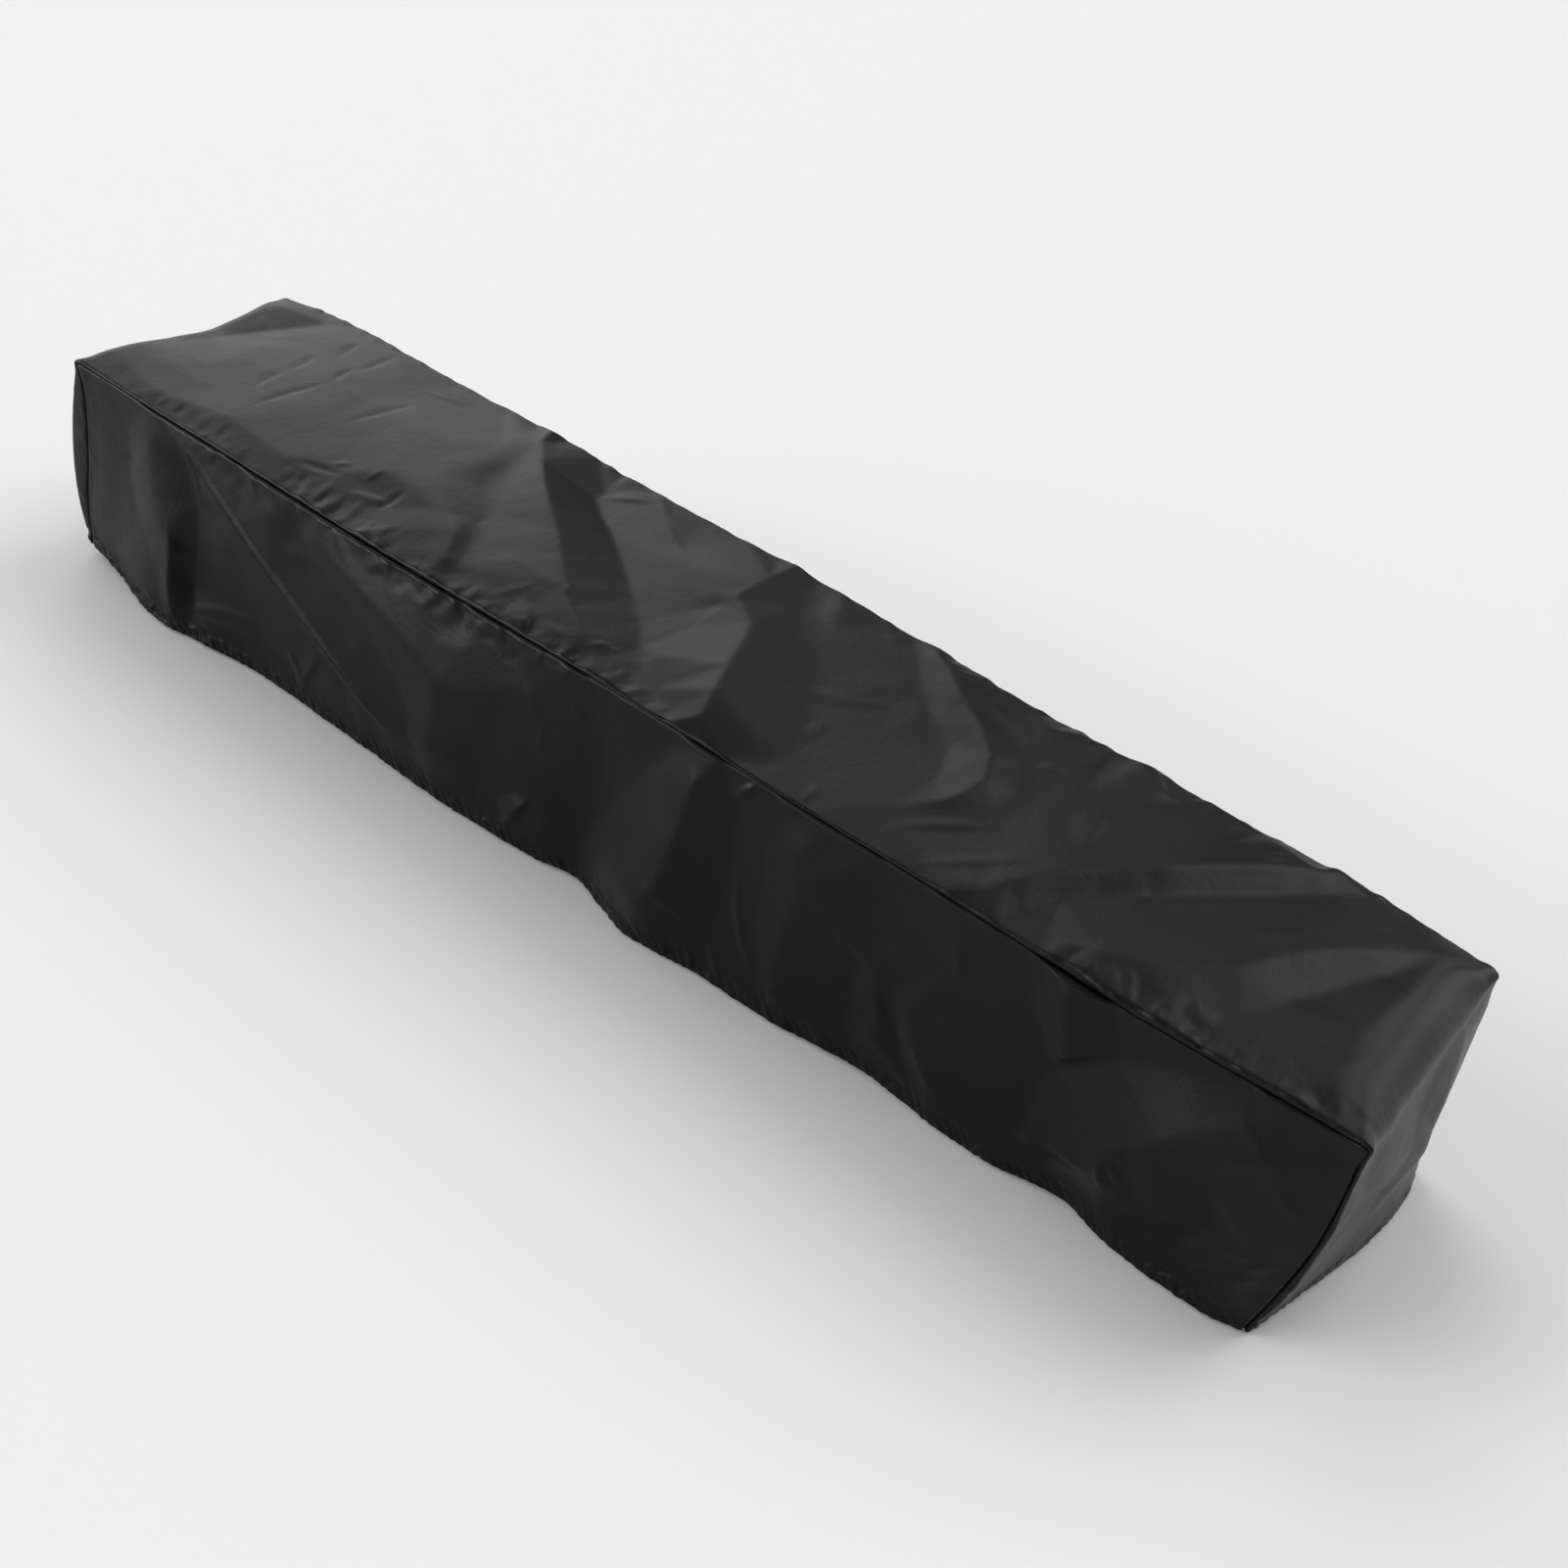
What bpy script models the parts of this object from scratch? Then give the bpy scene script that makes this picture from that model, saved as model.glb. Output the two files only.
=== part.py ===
"""Fitted dust cover for a long keyboard, in the shape in which it hangs over the instrument.

Three cut pieces of one thin cloth, each a closed sheet of its own:
  top_and_ends  one strip that runs up the left end, over the top and down the right end
  front_panel   the long front wall, met by the strip along the front seam
  back_panel    the long back wall, met by the strip along the back seam

Frame, in metres: +X towards the right end, -Y the front, +Z up. The origin is under the middle
of the top, at the height of the instrument's top edge.
"""

import math
from collections import namedtuple

import bpy
from mathutils import Vector

# Driving dimensions
LENGTH = 1.36
DEPTH = 0.258
DROP = 0.206
CLOTH = 0.0015
SEAM_GAP = 0.0004
HALF_LENGTH = LENGTH / 2

# Rounding of the strip where the top turns into an end: its radius at the seams and between
# them, and the share of the depth over which it grows from one to the other
SEAM_TURN = 0.006
END_TURN = 0.030
TURN_GROWTH = 0.22

# Sewn corners: how far they stand out, how far along the seams that fades, and which way
EAR = 0.008
EAR_REACH = 0.022
EAR_TURN = 0.8
EAR_WAY = (0.8, 0.35, 0.5)

# The top: radius of its shoulders beside the seams, its crown, how far its short edges' sag
# reaches in, and the share of the depth over which a seam holds the folds down
SHOULDER = 0.007
CROWN = 0.004
SAG_REACH = 0.10
SEAM_HOLD = 0.06

# The walls: how fast an end flares down its drop, and where corners and the seam hold folds down
FLARE_POWER = 1.5
CORNER_HOLD = 0.05
HEAD_HOLD = 0.2

# Folds: radius of a crest, share of the length over which both tips fade, where a fold that
# opens from a point is fully grown, and the narrowest share of its width
CREST = 0.012
TIP_FADE = 0.18
OPEN_GROWTH = 0.5
OPEN_START = 0.05

# Grid steps, and how far the steps across the strip crowd towards the seams
TOP_STEPS = 84
TURN_STEPS = 4
WALL_STEPS = 10
CROSS_STEPS = 14
CROSS_CROWDING = 0.085

# Long sections, one row per place along the length: the two seams, how far the top cloth climbs
# from each seam before it turns inwards, and the two free hems.
Section = namedtuple("Section", "x front_y front_z front_climb back_y back_z back_climb "
                                "hem_front_y hem_front_z hem_back_y hem_back_z")
SECTIONS = (
    Section(-0.680, -0.129, -0.004, 0.004, 0.128, -0.006, 0.004, -0.127, -0.200, 0.132, -0.206),
    Section(-0.620, -0.128, -0.005, 0.006, 0.129, 0.008, 0.005, -0.135, -0.206, 0.138, -0.207),
    Section(-0.555, -0.128, -0.006, 0.008, 0.130, 0.011, 0.005, -0.151, -0.210, 0.144, -0.208),
    Section(-0.490, -0.128, -0.006, 0.009, 0.130, 0.011, 0.005, -0.152, -0.210, 0.146, -0.208),
    Section(-0.420, -0.128, -0.007, 0.009, 0.130, 0.010, 0.005, -0.141, -0.210, 0.141, -0.207),
    Section(-0.340, -0.128, -0.008, 0.008, 0.130, 0.012, 0.005, -0.139, -0.210, 0.136, -0.206),
    Section(-0.220, -0.128, -0.008, 0.007, 0.130, 0.011, 0.005, -0.141, -0.210, 0.139, -0.207),
    Section(-0.120, -0.127, -0.007, 0.006, 0.130, 0.010, 0.005, -0.143, -0.210, 0.146, -0.208),
    Section(-0.045, -0.128, -0.005, 0.006, 0.130, 0.011, 0.005, -0.137, -0.210, 0.144, -0.207),
    Section(0.000, -0.128, -0.005, 0.005, 0.130, 0.011, 0.005, -0.131, -0.209, 0.139, -0.206),
    Section(0.045, -0.128, -0.005, 0.005, 0.130, 0.010, 0.005, -0.142, -0.211, 0.136, -0.206),
    Section(0.080, -0.128, -0.005, 0.005, 0.130, 0.009, 0.005, -0.148, -0.211, 0.136, -0.206),
    Section(0.140, -0.128, -0.006, 0.005, 0.130, 0.007, 0.005, -0.144, -0.210, 0.140, -0.207),
    Section(0.220, -0.127, -0.007, 0.006, 0.130, 0.004, 0.005, -0.142, -0.210, 0.146, -0.208),
    Section(0.315, -0.127, -0.007, 0.006, 0.130, 0.003, 0.005, -0.132, -0.208, 0.142, -0.207),
    Section(0.375, -0.128, -0.007, 0.006, 0.130, 0.005, 0.005, -0.135, -0.210, 0.137, -0.206),
    Section(0.440, -0.128, -0.008, 0.006, 0.130, 0.004, 0.005, -0.137, -0.210, 0.138, -0.206),
    Section(0.505, -0.128, -0.009, 0.007, 0.130, 0.004, 0.005, -0.127, -0.208, 0.144, -0.207),
    Section(0.560, -0.128, -0.007, 0.006, 0.130, 0.005, 0.005, -0.139, -0.211, 0.142, -0.207),
    Section(0.620, -0.128, -0.004, 0.005, 0.130, 0.002, 0.005, -0.141, -0.210, 0.137, -0.206),
    Section(0.680, -0.128, -0.002, 0.004, 0.128, -0.003, 0.004, -0.133, -0.210, 0.132, -0.204),
)

# The four upright seams, one row per share of the drop: how far each stands outside the nominal
# end, and how far the end's cloth goes past the corner before it turns.
Upright = namedtuple("Upright", "drop left_front left_back right_front right_back "
                                "left_front_wrap left_back_wrap right_front_wrap right_back_wrap")
UPRIGHTS = (
    Upright(0.00, -0.004, 0.002, 0.000, 0.005, 0.006, 0.003, 0.003, 0.003),
    Upright(0.15, -0.010, 0.003, 0.002, 0.009, 0.018, 0.004, 0.003, 0.004),
    Upright(0.45, -0.011, 0.005, 0.003, 0.011, 0.024, 0.005, 0.004, 0.005),
    Upright(0.75, -0.007, 0.007, -0.004, 0.010, 0.015, 0.005, 0.005, 0.005),
    Upright(1.00, -0.012, 0.008, -0.013, 0.022, 0.005, 0.004, 0.003, 0.003),
)

# The two short top edges, one row per share of the depth: how far the edge sags, and how far the
# end's cloth stands out from the straight line between its seams at the hem.
EndEdge = namedtuple("EndEdge", "across left_sag right_sag left_flare right_flare")
END_EDGES = (
    EndEdge(0.00, 0.000, 0.000, 0.000, 0.000),
    EndEdge(0.20, 0.005, 0.001, 0.006, 0.006),
    EndEdge(0.40, 0.001, 0.000, 0.009, 0.013),
    EndEdge(0.55, -0.010, 0.001, 0.008, 0.018),
    EndEdge(0.72, -0.023, 0.002, 0.006, 0.018),
    EndEdge(0.88, -0.013, 0.003, 0.003, 0.011),
    EndEdge(1.00, 0.000, 0.000, 0.000, 0.000),
)

# Main folds. A fold runs from (from_x, from_y) to (to_x, to_y) on its panel: x and y on the top,
# x and z on a long wall, y and z on an end. Its slopes reach out by left and right, looking from
# start to end with the panel's second axis up. open is 1 where it widens from a point.
Fold = namedtuple("Fold", "from_x from_y to_x to_y left right height open")
TOP_FOLDS = (
    Fold(-0.650, 0.000, -0.585, 0.150, 0.055, 0.080, 0.006, 0),
    Fold(-0.665, -0.100, -0.530, -0.113, 0.050, 0.020, 0.003, 0),
    Fold(-0.545, -0.115, -0.300, -0.068, 0.070, 0.040, 0.006, 0),
    Fold(-0.310, -0.070, -0.200, -0.105, 0.050, 0.035, 0.007, 0),
    Fold(-0.320, 0.140, -0.020, -0.140, 0.050, 0.120, 0.012, 0),
    Fold(-0.250, 0.130, 0.020, -0.105, 0.045, 0.045, -0.005, 0),
    Fold(-0.010, 0.145, 0.084, -0.130, 0.120, 0.055, 0.010, 0),
    Fold(0.110, 0.140, 0.190, -0.020, 0.050, 0.050, -0.004, 1),
    Fold(0.150, 0.145, 0.275, 0.030, 0.050, 0.060, 0.007, 0),
    Fold(0.275, 0.045, 0.262, -0.085, 0.045, 0.060, 0.006, 0),
    Fold(0.235, -0.140, 0.345, -0.015, 0.026, 0.022, 0.004, 0),
    Fold(0.295, -0.140, 0.380, -0.035, 0.024, 0.022, 0.004, 0),
    Fold(0.345, -0.130, 0.455, -0.020, 0.060, 0.050, 0.007, 0),
    Fold(0.440, -0.035, 0.625, 0.115, 0.060, 0.055, 0.009, 0),
    Fold(0.530, -0.095, 0.650, 0.100, 0.050, 0.060, 0.004, 0),
    Fold(0.385, 0.090, 0.345, 0.140, 0.035, 0.035, 0.005, 0),
)
FRONT_FOLDS = (
    Fold(-0.552, 0.000, -0.550, -0.230, 0.055, 0.090, 0.008, 0),
    Fold(-0.500, 0.000, -0.500, -0.200, 0.040, 0.030, -0.006, 0),
    Fold(-0.554, 0.005, -0.185, -0.210, 0.060, 0.040, 0.007, 0),
    Fold(-0.360, 0.000, -0.188, -0.170, 0.050, 0.080, 0.009, 0),
    Fold(-0.190, -0.110, -0.195, -0.230, 0.060, 0.050, 0.006, 0),
    Fold(-0.100, -0.215, -0.055, -0.140, 0.030, 0.035, 0.005, 0),
    Fold(0.095, 0.000, 0.062, -0.230, 0.045, 0.060, 0.012, 1),
    Fold(0.178, -0.005, 0.250, -0.150, 0.050, 0.050, 0.007, 1),
    Fold(0.164, -0.080, 0.195, -0.200, 0.025, 0.030, 0.005, 0),
    Fold(0.432, 0.000, 0.470, -0.120, 0.030, 0.040, 0.009, 0),
    Fold(0.460, -0.125, 0.640, -0.030, 0.060, 0.050, 0.007, 0),
    Fold(0.520, -0.125, 0.600, -0.185, 0.045, 0.045, -0.006, 0),
)
BACK_FOLDS = (
    Fold(-0.480, 0.000, -0.500, -0.230, 0.070, 0.070, 0.007, 1),
    Fold(-0.120, 0.000, -0.060, -0.230, 0.070, 0.060, 0.008, 1),
    Fold(0.220, 0.000, 0.190, -0.230, 0.060, 0.070, 0.007, 1),
    Fold(0.520, 0.000, 0.560, -0.230, 0.060, 0.060, 0.006, 1),
)
LEFT_END_FOLDS = (
    Fold(-0.030, 0.000, 0.000, -0.230, 0.060, 0.060, 0.006, 1),
)
RIGHT_END_FOLDS = (
    Fold(-0.125, -0.005, 0.050, -0.120, 0.030, 0.040, 0.007, 0),
    Fold(0.100, -0.005, -0.030, -0.150, 0.050, 0.050, 0.006, 0),
)

CLOTH_NAME = "black_taffeta"
CLOTH_COLOUR = (0.018, 0.018, 0.020, 1.0)
CLOTH_ROUGHNESS = 0.42
SHARP_EDGE = math.radians(50)


def clear_scene():
    """Remove whatever objects the scene opened with."""
    for item in list(bpy.data.objects):
        bpy.data.objects.remove(item, do_unlink=True)


def black_taffeta():
    """The one cloth: a close black plain weave with a satin sheen."""
    material = bpy.data.materials.new(CLOTH_NAME)
    material.use_nodes = True
    shader = material.node_tree.nodes["Principled BSDF"]
    shader.inputs["Base Color"].default_value = CLOTH_COLOUR
    shader.inputs["Roughness"].default_value = CLOTH_ROUGHNESS
    shader.inputs["Metallic"].default_value = 0.0
    material.diffuse_color = CLOTH_COLOUR
    return material


def mix(a, b, share):
    """The value or point at a share of the way from a to b."""
    return a + (b - a) * share


def ease(share):
    """0 to 1 with level ends."""
    share = min(1.0, max(0.0, share))
    return share * share * (3.0 - 2.0 * share)


def read(rows, place, column):
    """A table's column at a place along its first column, on a smooth curve through the rows."""
    keys = [row[0] for row in rows]
    values = [getattr(row, column) for row in rows]
    last = len(rows) - 1
    if place <= keys[0]:
        return values[0]
    if place >= keys[last]:
        return values[last]
    low = max(index for index in range(last) if keys[index] <= place)
    span = keys[low + 1] - keys[low]
    share = (place - keys[low]) / span

    def slope(index):
        before = max(0, index - 1)
        after = min(last, index + 1)
        return (values[after] - values[before]) / (keys[after] - keys[before])

    square = share * share
    cube = square * share
    return ((2 * cube - 3 * square + 1) * values[low]
            + (cube - 2 * square + share) * span * slope(low)
            + (3 * square - 2 * cube) * values[low + 1]
            + (cube - square) * span * slope(low + 1))


def turned(run, climb):
    """Length left for going across, out of a run of cloth that first climbs and then turns."""
    if run <= climb - SHOULDER:
        return 0.0
    if run >= climb + SHOULDER:
        return run - climb
    return (run - climb + SHOULDER) ** 2 / (4 * SHOULDER)


def cross_section(share, near, far, near_climb, far_climb):
    """Place across and lift above the seams, for a share of the cloth between two seams."""
    width = (far - near) + near_climb + far_climb
    run = share * width
    rest = width - run
    from_near = turned(run, near_climb) - turned(0.0, near_climb) * (1 - share)
    from_far = turned(rest, far_climb) - turned(0.0, far_climb) * share
    across = mix(near + from_near, far - from_far, share)
    lift = mix(run - from_near, rest - from_far, share)
    return across, lift


def fold_height(fold, x, y):
    """How far one fold lifts the cloth at a place on its panel."""
    along_x = fold.to_x - fold.from_x
    along_y = fold.to_y - fold.from_y
    length = math.hypot(along_x, along_y)
    out_x = x - fold.from_x
    out_y = y - fold.from_y
    share = (out_x * along_x + out_y * along_y) / length ** 2
    if share <= 0.0 or share >= 1.0:
        return 0.0
    offset = (along_x * out_y - along_y * out_x) / length
    reach = fold.left if offset > 0 else fold.right
    if fold.open:
        reach *= max(OPEN_START, share)
    distance = (math.hypot(offset, CREST) - CREST) / reach
    if distance >= 1.0:
        return 0.0
    steep = (1.0 - distance) ** 2
    soft = 1.0 - ease(distance)
    fade = ease(share / TIP_FADE) * ease((1.0 - share) / TIP_FADE)
    if fold.open:
        fade = ease(share / OPEN_GROWTH)
    return fold.height * (steep + soft) / 2 * fade


def folded(folds, x, y):
    """How far all of a panel's folds lift the cloth at a place on it."""
    return sum(fold_height(fold, x, y) for fold in folds)


def end_edge_sag(x, across):
    """Sag of the top near its two short edges."""
    left = read(END_EDGES, across, "left_sag") * ease(1 - (x + HALF_LENGTH) / SAG_REACH)
    right = read(END_EDGES, across, "right_sag") * ease(1 - (HALF_LENGTH - x) / SAG_REACH)
    return left + right


def roundness(across):
    """0 at the two seams, 1 over most of the depth between them."""
    return ease(min(across, 1.0 - across) / TURN_GROWTH)


def top_point(x, across):
    """A point of the strip where it lies on top."""
    front_z = read(SECTIONS, x, "front_z")
    back_z = read(SECTIONS, x, "back_z")
    y, lift = cross_section(across, read(SECTIONS, x, "front_y"), read(SECTIONS, x, "back_y"),
                            read(SECTIONS, x, "front_climb"), read(SECTIONS, x, "back_climb"))
    z = mix(front_z, back_z, across) + lift
    z += CROWN * math.sin(math.pi * across) + end_edge_sag(x, across)
    z += folded(TOP_FOLDS, x, y) * ease(min(across, 1.0 - across) / SEAM_HOLD)
    return Vector((x, y, z))


def wall_offset(side, drop, across):
    """How far an end's wall stands outside the nominal end, at a share of the drop."""
    name = "left" if side < 0 else "right"
    front = read(UPRIGHTS, drop, name + "_front")
    back = read(UPRIGHTS, drop, name + "_back")
    flare = read(END_EDGES, across, name + "_flare") * math.sin(0.5 * math.pi * drop) ** FLARE_POWER
    return mix(front, back, across) + flare


def end_point(side, turn, drop, across):
    """A point of the strip on an end: turn goes 0 to 1 round the top edge, drop 0 to 1 below."""
    name = "left" if side < 0 else "right"
    radius = mix(SEAM_TURN, END_TURN, roundness(across))
    start_x = side * (HALF_LENGTH + wall_offset(side, 0.0, across) - radius)
    start = top_point(start_x, across)
    front_y = mix(read(SECTIONS, start_x, "front_y"), read(SECTIONS, start_x, "hem_front_y"), drop)
    back_y = mix(read(SECTIONS, start_x, "back_y"), read(SECTIONS, start_x, "hem_back_y"), drop)
    y, lift = cross_section(across, front_y, back_y,
                            read(UPRIGHTS, drop, name + "_front_wrap"),
                            read(UPRIGHTS, drop, name + "_back_wrap"))
    y = mix(start.y, y, ease(turn))
    angle = 0.5 * math.pi * turn
    hem = mix(read(SECTIONS, start_x, "hem_front_z"), read(SECTIONS, start_x, "hem_back_z"), across)
    edge_z = start.z - radius
    folds = LEFT_END_FOLDS if side < 0 else RIGHT_END_FOLDS
    out = wall_offset(side, drop, across) - wall_offset(side, 0.0, across)
    out += lift * ease(turn) + folded(folds, y, mix(edge_z, hem, drop)) * roundness(across)
    x = start_x + side * (radius * math.sin(angle) + out)
    z = mix(edge_z + radius * math.cos(angle), hem, drop)
    return Vector((x, y, z))


def with_ear(point, side, turn, drop, across):
    """Push the corner of a seam out to the point that a sewn corner stands up in."""
    from_seam = min(across, 1.0 - across) * DEPTH / EAR_REACH
    from_corner = abs(turn - 0.5) * EAR_TURN + drop * DROP / EAR_REACH
    amount = EAR * ease(1.0 - from_seam) * ease(1.0 - from_corner)
    outward = -1.0 if across < 0.5 else 1.0
    return point + amount * Vector((side * EAR_WAY[0], outward * EAR_WAY[1], EAR_WAY[2]))


def strip_stations():
    """Stations along the strip as (side, turn, drop, x share), from left hem to right hem."""
    wall = [1.0 - step / WALL_STEPS for step in range(WALL_STEPS)]
    turns = [1.0 - step / TURN_STEPS for step in range(TURN_STEPS)]
    left = [(-1, 1.0, drop, 0.0) for drop in wall]
    left += [(-1, turn, 0.0, 0.0) for turn in turns]
    top = [(0, 0.0, 0.0, step / TOP_STEPS) for step in range(TOP_STEPS + 1)]
    right = [(1, turn, drop, 1.0) for (_, turn, drop, _) in reversed(left)]
    return left + top + right


def cross_stations():
    """Shares across the strip, closer together near the two seams."""
    even = [step / CROSS_STEPS for step in range(CROSS_STEPS + 1)]
    return [share - CROSS_CROWDING * math.sin(2 * math.pi * share) for share in even]


def strip_point(station, across):
    """A point of the strip's outer face."""
    side, turn, drop, share = station
    if side == 0:
        radius = mix(SEAM_TURN, END_TURN, roundness(across))
        left = -(HALF_LENGTH + wall_offset(-1, 0.0, across) - radius)
        right = HALF_LENGTH + wall_offset(1, 0.0, across) - radius
        point = top_point(mix(left, right, share), across)
        near = min(share, 1.0 - share) * LENGTH
        side = -1 if share < 0.5 else 1
        return with_ear(point, side, -near / EAR_REACH, 0.0, across)
    return with_ear(end_point(side, turn, drop, across), side, turn, drop, across)


def strip_grid():
    """Outer face of the strip, a row of points for each station along it."""
    return [[strip_point(station, across) for across in cross_stations()]
            for station in strip_stations()]


def wall_grid(strip, edge, hem_y, hem_z, outward, folds):
    """Outer face of a long wall, hung between the strip's seam line and its own free hem."""
    seam = [row[edge] for row in strip]
    corner = WALL_STEPS + TURN_STEPS // 2
    top = seam[corner:len(seam) - corner]
    left = list(reversed(seam[:corner + 1]))
    right = seam[len(seam) - corner - 1:]
    width = top[-1].x - top[0].x
    rows = []
    for step in range(len(left)):
        down = (top[0].z - left[step].z) / (top[0].z - left[-1].z)
        row = []
        for head in top:
            over = (head.x - top[0].x) / width
            hem_x = mix(left[-1].x, right[-1].x, over)
            hem = Vector((hem_x, read(SECTIONS, hem_x, hem_y), read(SECTIONS, hem_x, hem_z)))
            sides = mix(left[step], right[step], over)
            corners = mix(mix(top[0], top[-1], over), mix(left[-1], right[-1], over), down)
            point = mix(head, hem, down) + sides - corners
            hold = ease(over * width / CORNER_HOLD) * ease((1 - over) * width / CORNER_HOLD)
            point.y += outward * folded(folds, point.x, point.z) * hold * ease(down / HEAD_HOLD)
            row.append(point)
        rows.append(row)
    return rows


def grid_normals(grid, flip):
    """Unit normals of a grid of points, facing out of the cover."""
    normals = []
    for i, row in enumerate(grid):
        line = []
        for j in range(len(row)):
            along = grid[min(i + 1, len(grid) - 1)][j] - grid[max(i - 1, 0)][j]
            over = row[min(j + 1, len(row) - 1)] - row[max(j - 1, 0)]
            normal = along.cross(over)
            line.append((normal * flip).normalized())
        normals.append(line)
    return normals


def mitre(seam, own, other, toward):
    """Outer and inner edge points of a sheet along a seam that it shares with another sheet."""
    outer = []
    inner = []
    for index, point in enumerate(seam):
        along = seam[min(index + 1, len(seam) - 1)] - seam[max(index - 1, 0)]
        inwards = -(own[index] + other[index]).normalized()
        across = along.cross(inwards).normalized()
        if across.dot(toward[index]) < 0:
            across = -across
        edge = point + across * SEAM_GAP / 2
        outer.append(edge)
        inner.append(edge + inwards * min(CLOTH / -inwards.dot(own[index]), 2 * CLOTH))
    return outer, inner


def sheet_object(name, outer, inner, flip, material):
    """Close an outer and an inner grid of points into one solid sheet."""
    rows = len(outer)
    columns = len(outer[0])
    count = rows * columns
    points = [point for row in outer for point in row] + [point for row in inner for point in row]
    faces = []

    def add(a, b, c, d):
        if flip > 0:
            faces.extend(((a, b, c), (a, c, d)))
        else:
            faces.extend(((a, c, b), (a, d, c)))

    for i in range(rows - 1):
        for j in range(columns - 1):
            a = i * columns + j
            b = a + columns
            add(a, b, b + 1, a + 1)
            add(a + count, a + 1 + count, b + 1 + count, b + count)
    rim = list(range(columns))
    rim += [i * columns + columns - 1 for i in range(1, rows)]
    rim += [(rows - 1) * columns + j for j in range(columns - 2, -1, -1)]
    rim += [i * columns for i in range(rows - 2, 0, -1)]
    for index, a in enumerate(rim):
        b = rim[(index + 1) % len(rim)]
        add(b, b + count, a + count, a)
    mesh = bpy.data.meshes.new(name)
    mesh.from_pydata(points, [], faces)
    mesh.materials.append(material)
    mesh.validate()
    mesh.update()
    item = bpy.data.objects.new(name, mesh)
    bpy.context.scene.collection.objects.link(item)
    mesh.shade_smooth()
    mesh.set_sharp_from_angle(angle=SHARP_EDGE)


def build():
    """Build the three sheets, mitred to each other along their seams."""
    clear_scene()
    material = black_taffeta()
    strip = strip_grid()
    last = len(strip[0]) - 1
    strip_normals = grid_normals(strip, 1)
    strip_inner = [[point - normal * CLOTH for point, normal in zip(row, normals)]
                   for row, normals in zip(strip, strip_normals)]
    corner = WALL_STEPS + TURN_STEPS // 2
    walls = (
        ("front_panel", 0, 1, "hem_front_y", "hem_front_z", -1, FRONT_FOLDS),
        ("back_panel", last, last - 1, "hem_back_y", "hem_back_z", 1, BACK_FOLDS),
    )
    edges = {}
    for name, edge, beside, hem_y, hem_z, outward, folds in walls:
        wall = wall_grid(strip, edge, hem_y, hem_z, outward, folds)
        normals = grid_normals(wall, -outward)
        inner = [[point - normal * CLOTH for point, normal in zip(row, line)]
                 for row, line in zip(wall, normals)]
        rim = [(step, 0) for step in range(corner, 0, -1)]
        rim += [(0, step) for step in range(len(wall[0]))]
        rim += [(step, len(wall[0]) - 1) for step in range(1, corner + 1)]
        seam = [row[edge] for row in strip]
        strip_side = [row[edge] for row in strip_normals]
        wall_side = [normals[i][j] for i, j in rim]
        into_strip = [row[beside] - row[edge] for row in strip]
        into_wall = [-step for step in into_strip]
        edges[edge] = mitre(seam, strip_side, wall_side, into_strip)
        wall_outer, wall_inner = mitre(seam, wall_side, strip_side, into_wall)
        for (i, j), out_point, in_point in zip(rim, wall_outer, wall_inner):
            wall[i][j] = out_point
            inner[i][j] = in_point
        sheet_object(name, wall, inner, -outward, material)
    for edge, (outer_line, inner_line) in edges.items():
        for row, inner_row, out_point, in_point in zip(strip, strip_inner, outer_line, inner_line):
            row[edge] = out_point
            inner_row[edge] = in_point
    sheet_object("top_and_ends", strip, strip_inner, 1, material)


build()
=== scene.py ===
"""Looks of a fitted dust cover of thin black taffeta for a long keyboard.

Three cut pieces of one cloth, sewn along their edges, in the shape in which they hang: a strip
that runs up the left end, over the top and down the right end, and the two long walls. Each is a
thin closed sheet on the folds of its own solid, with the sharper creases, the puckers along the
seams and the gathers above the hem that such a crisp cloth takes.

Frame, in metres: +X towards the right end, -Y the front, +Z up. The origin is under the middle
of the top, at the height of the instrument's top edge.
"""

import logging
import math
from dataclasses import dataclass, field
from enum import Enum
from functools import cache
from typing import Callable, NamedTuple, Sequence

import bpy
import numpy as np
from mathutils import Matrix, Vector
from mathutils.geometry import delaunay_2d_cdt


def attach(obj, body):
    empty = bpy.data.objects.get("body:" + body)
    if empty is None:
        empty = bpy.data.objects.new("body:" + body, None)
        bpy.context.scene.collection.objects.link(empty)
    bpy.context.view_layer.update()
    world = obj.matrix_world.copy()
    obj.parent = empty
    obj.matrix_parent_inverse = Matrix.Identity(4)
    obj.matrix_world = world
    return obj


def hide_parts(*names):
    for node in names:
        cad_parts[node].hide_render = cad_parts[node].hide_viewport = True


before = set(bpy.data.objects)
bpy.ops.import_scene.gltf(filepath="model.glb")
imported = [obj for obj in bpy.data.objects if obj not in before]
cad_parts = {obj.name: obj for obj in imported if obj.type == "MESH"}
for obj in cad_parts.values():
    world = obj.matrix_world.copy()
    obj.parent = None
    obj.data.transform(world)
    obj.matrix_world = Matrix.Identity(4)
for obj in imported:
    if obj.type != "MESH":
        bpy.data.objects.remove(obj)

Array = np.ndarray
log = logging.getLogger("cover")

# Driving sizes, as in the solids
LENGTH = 1.36
DEPTH = 0.258
DROP = 0.206
HALF_LENGTH = LENGTH / 2
SEAM_GAP = 0.0014

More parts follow.
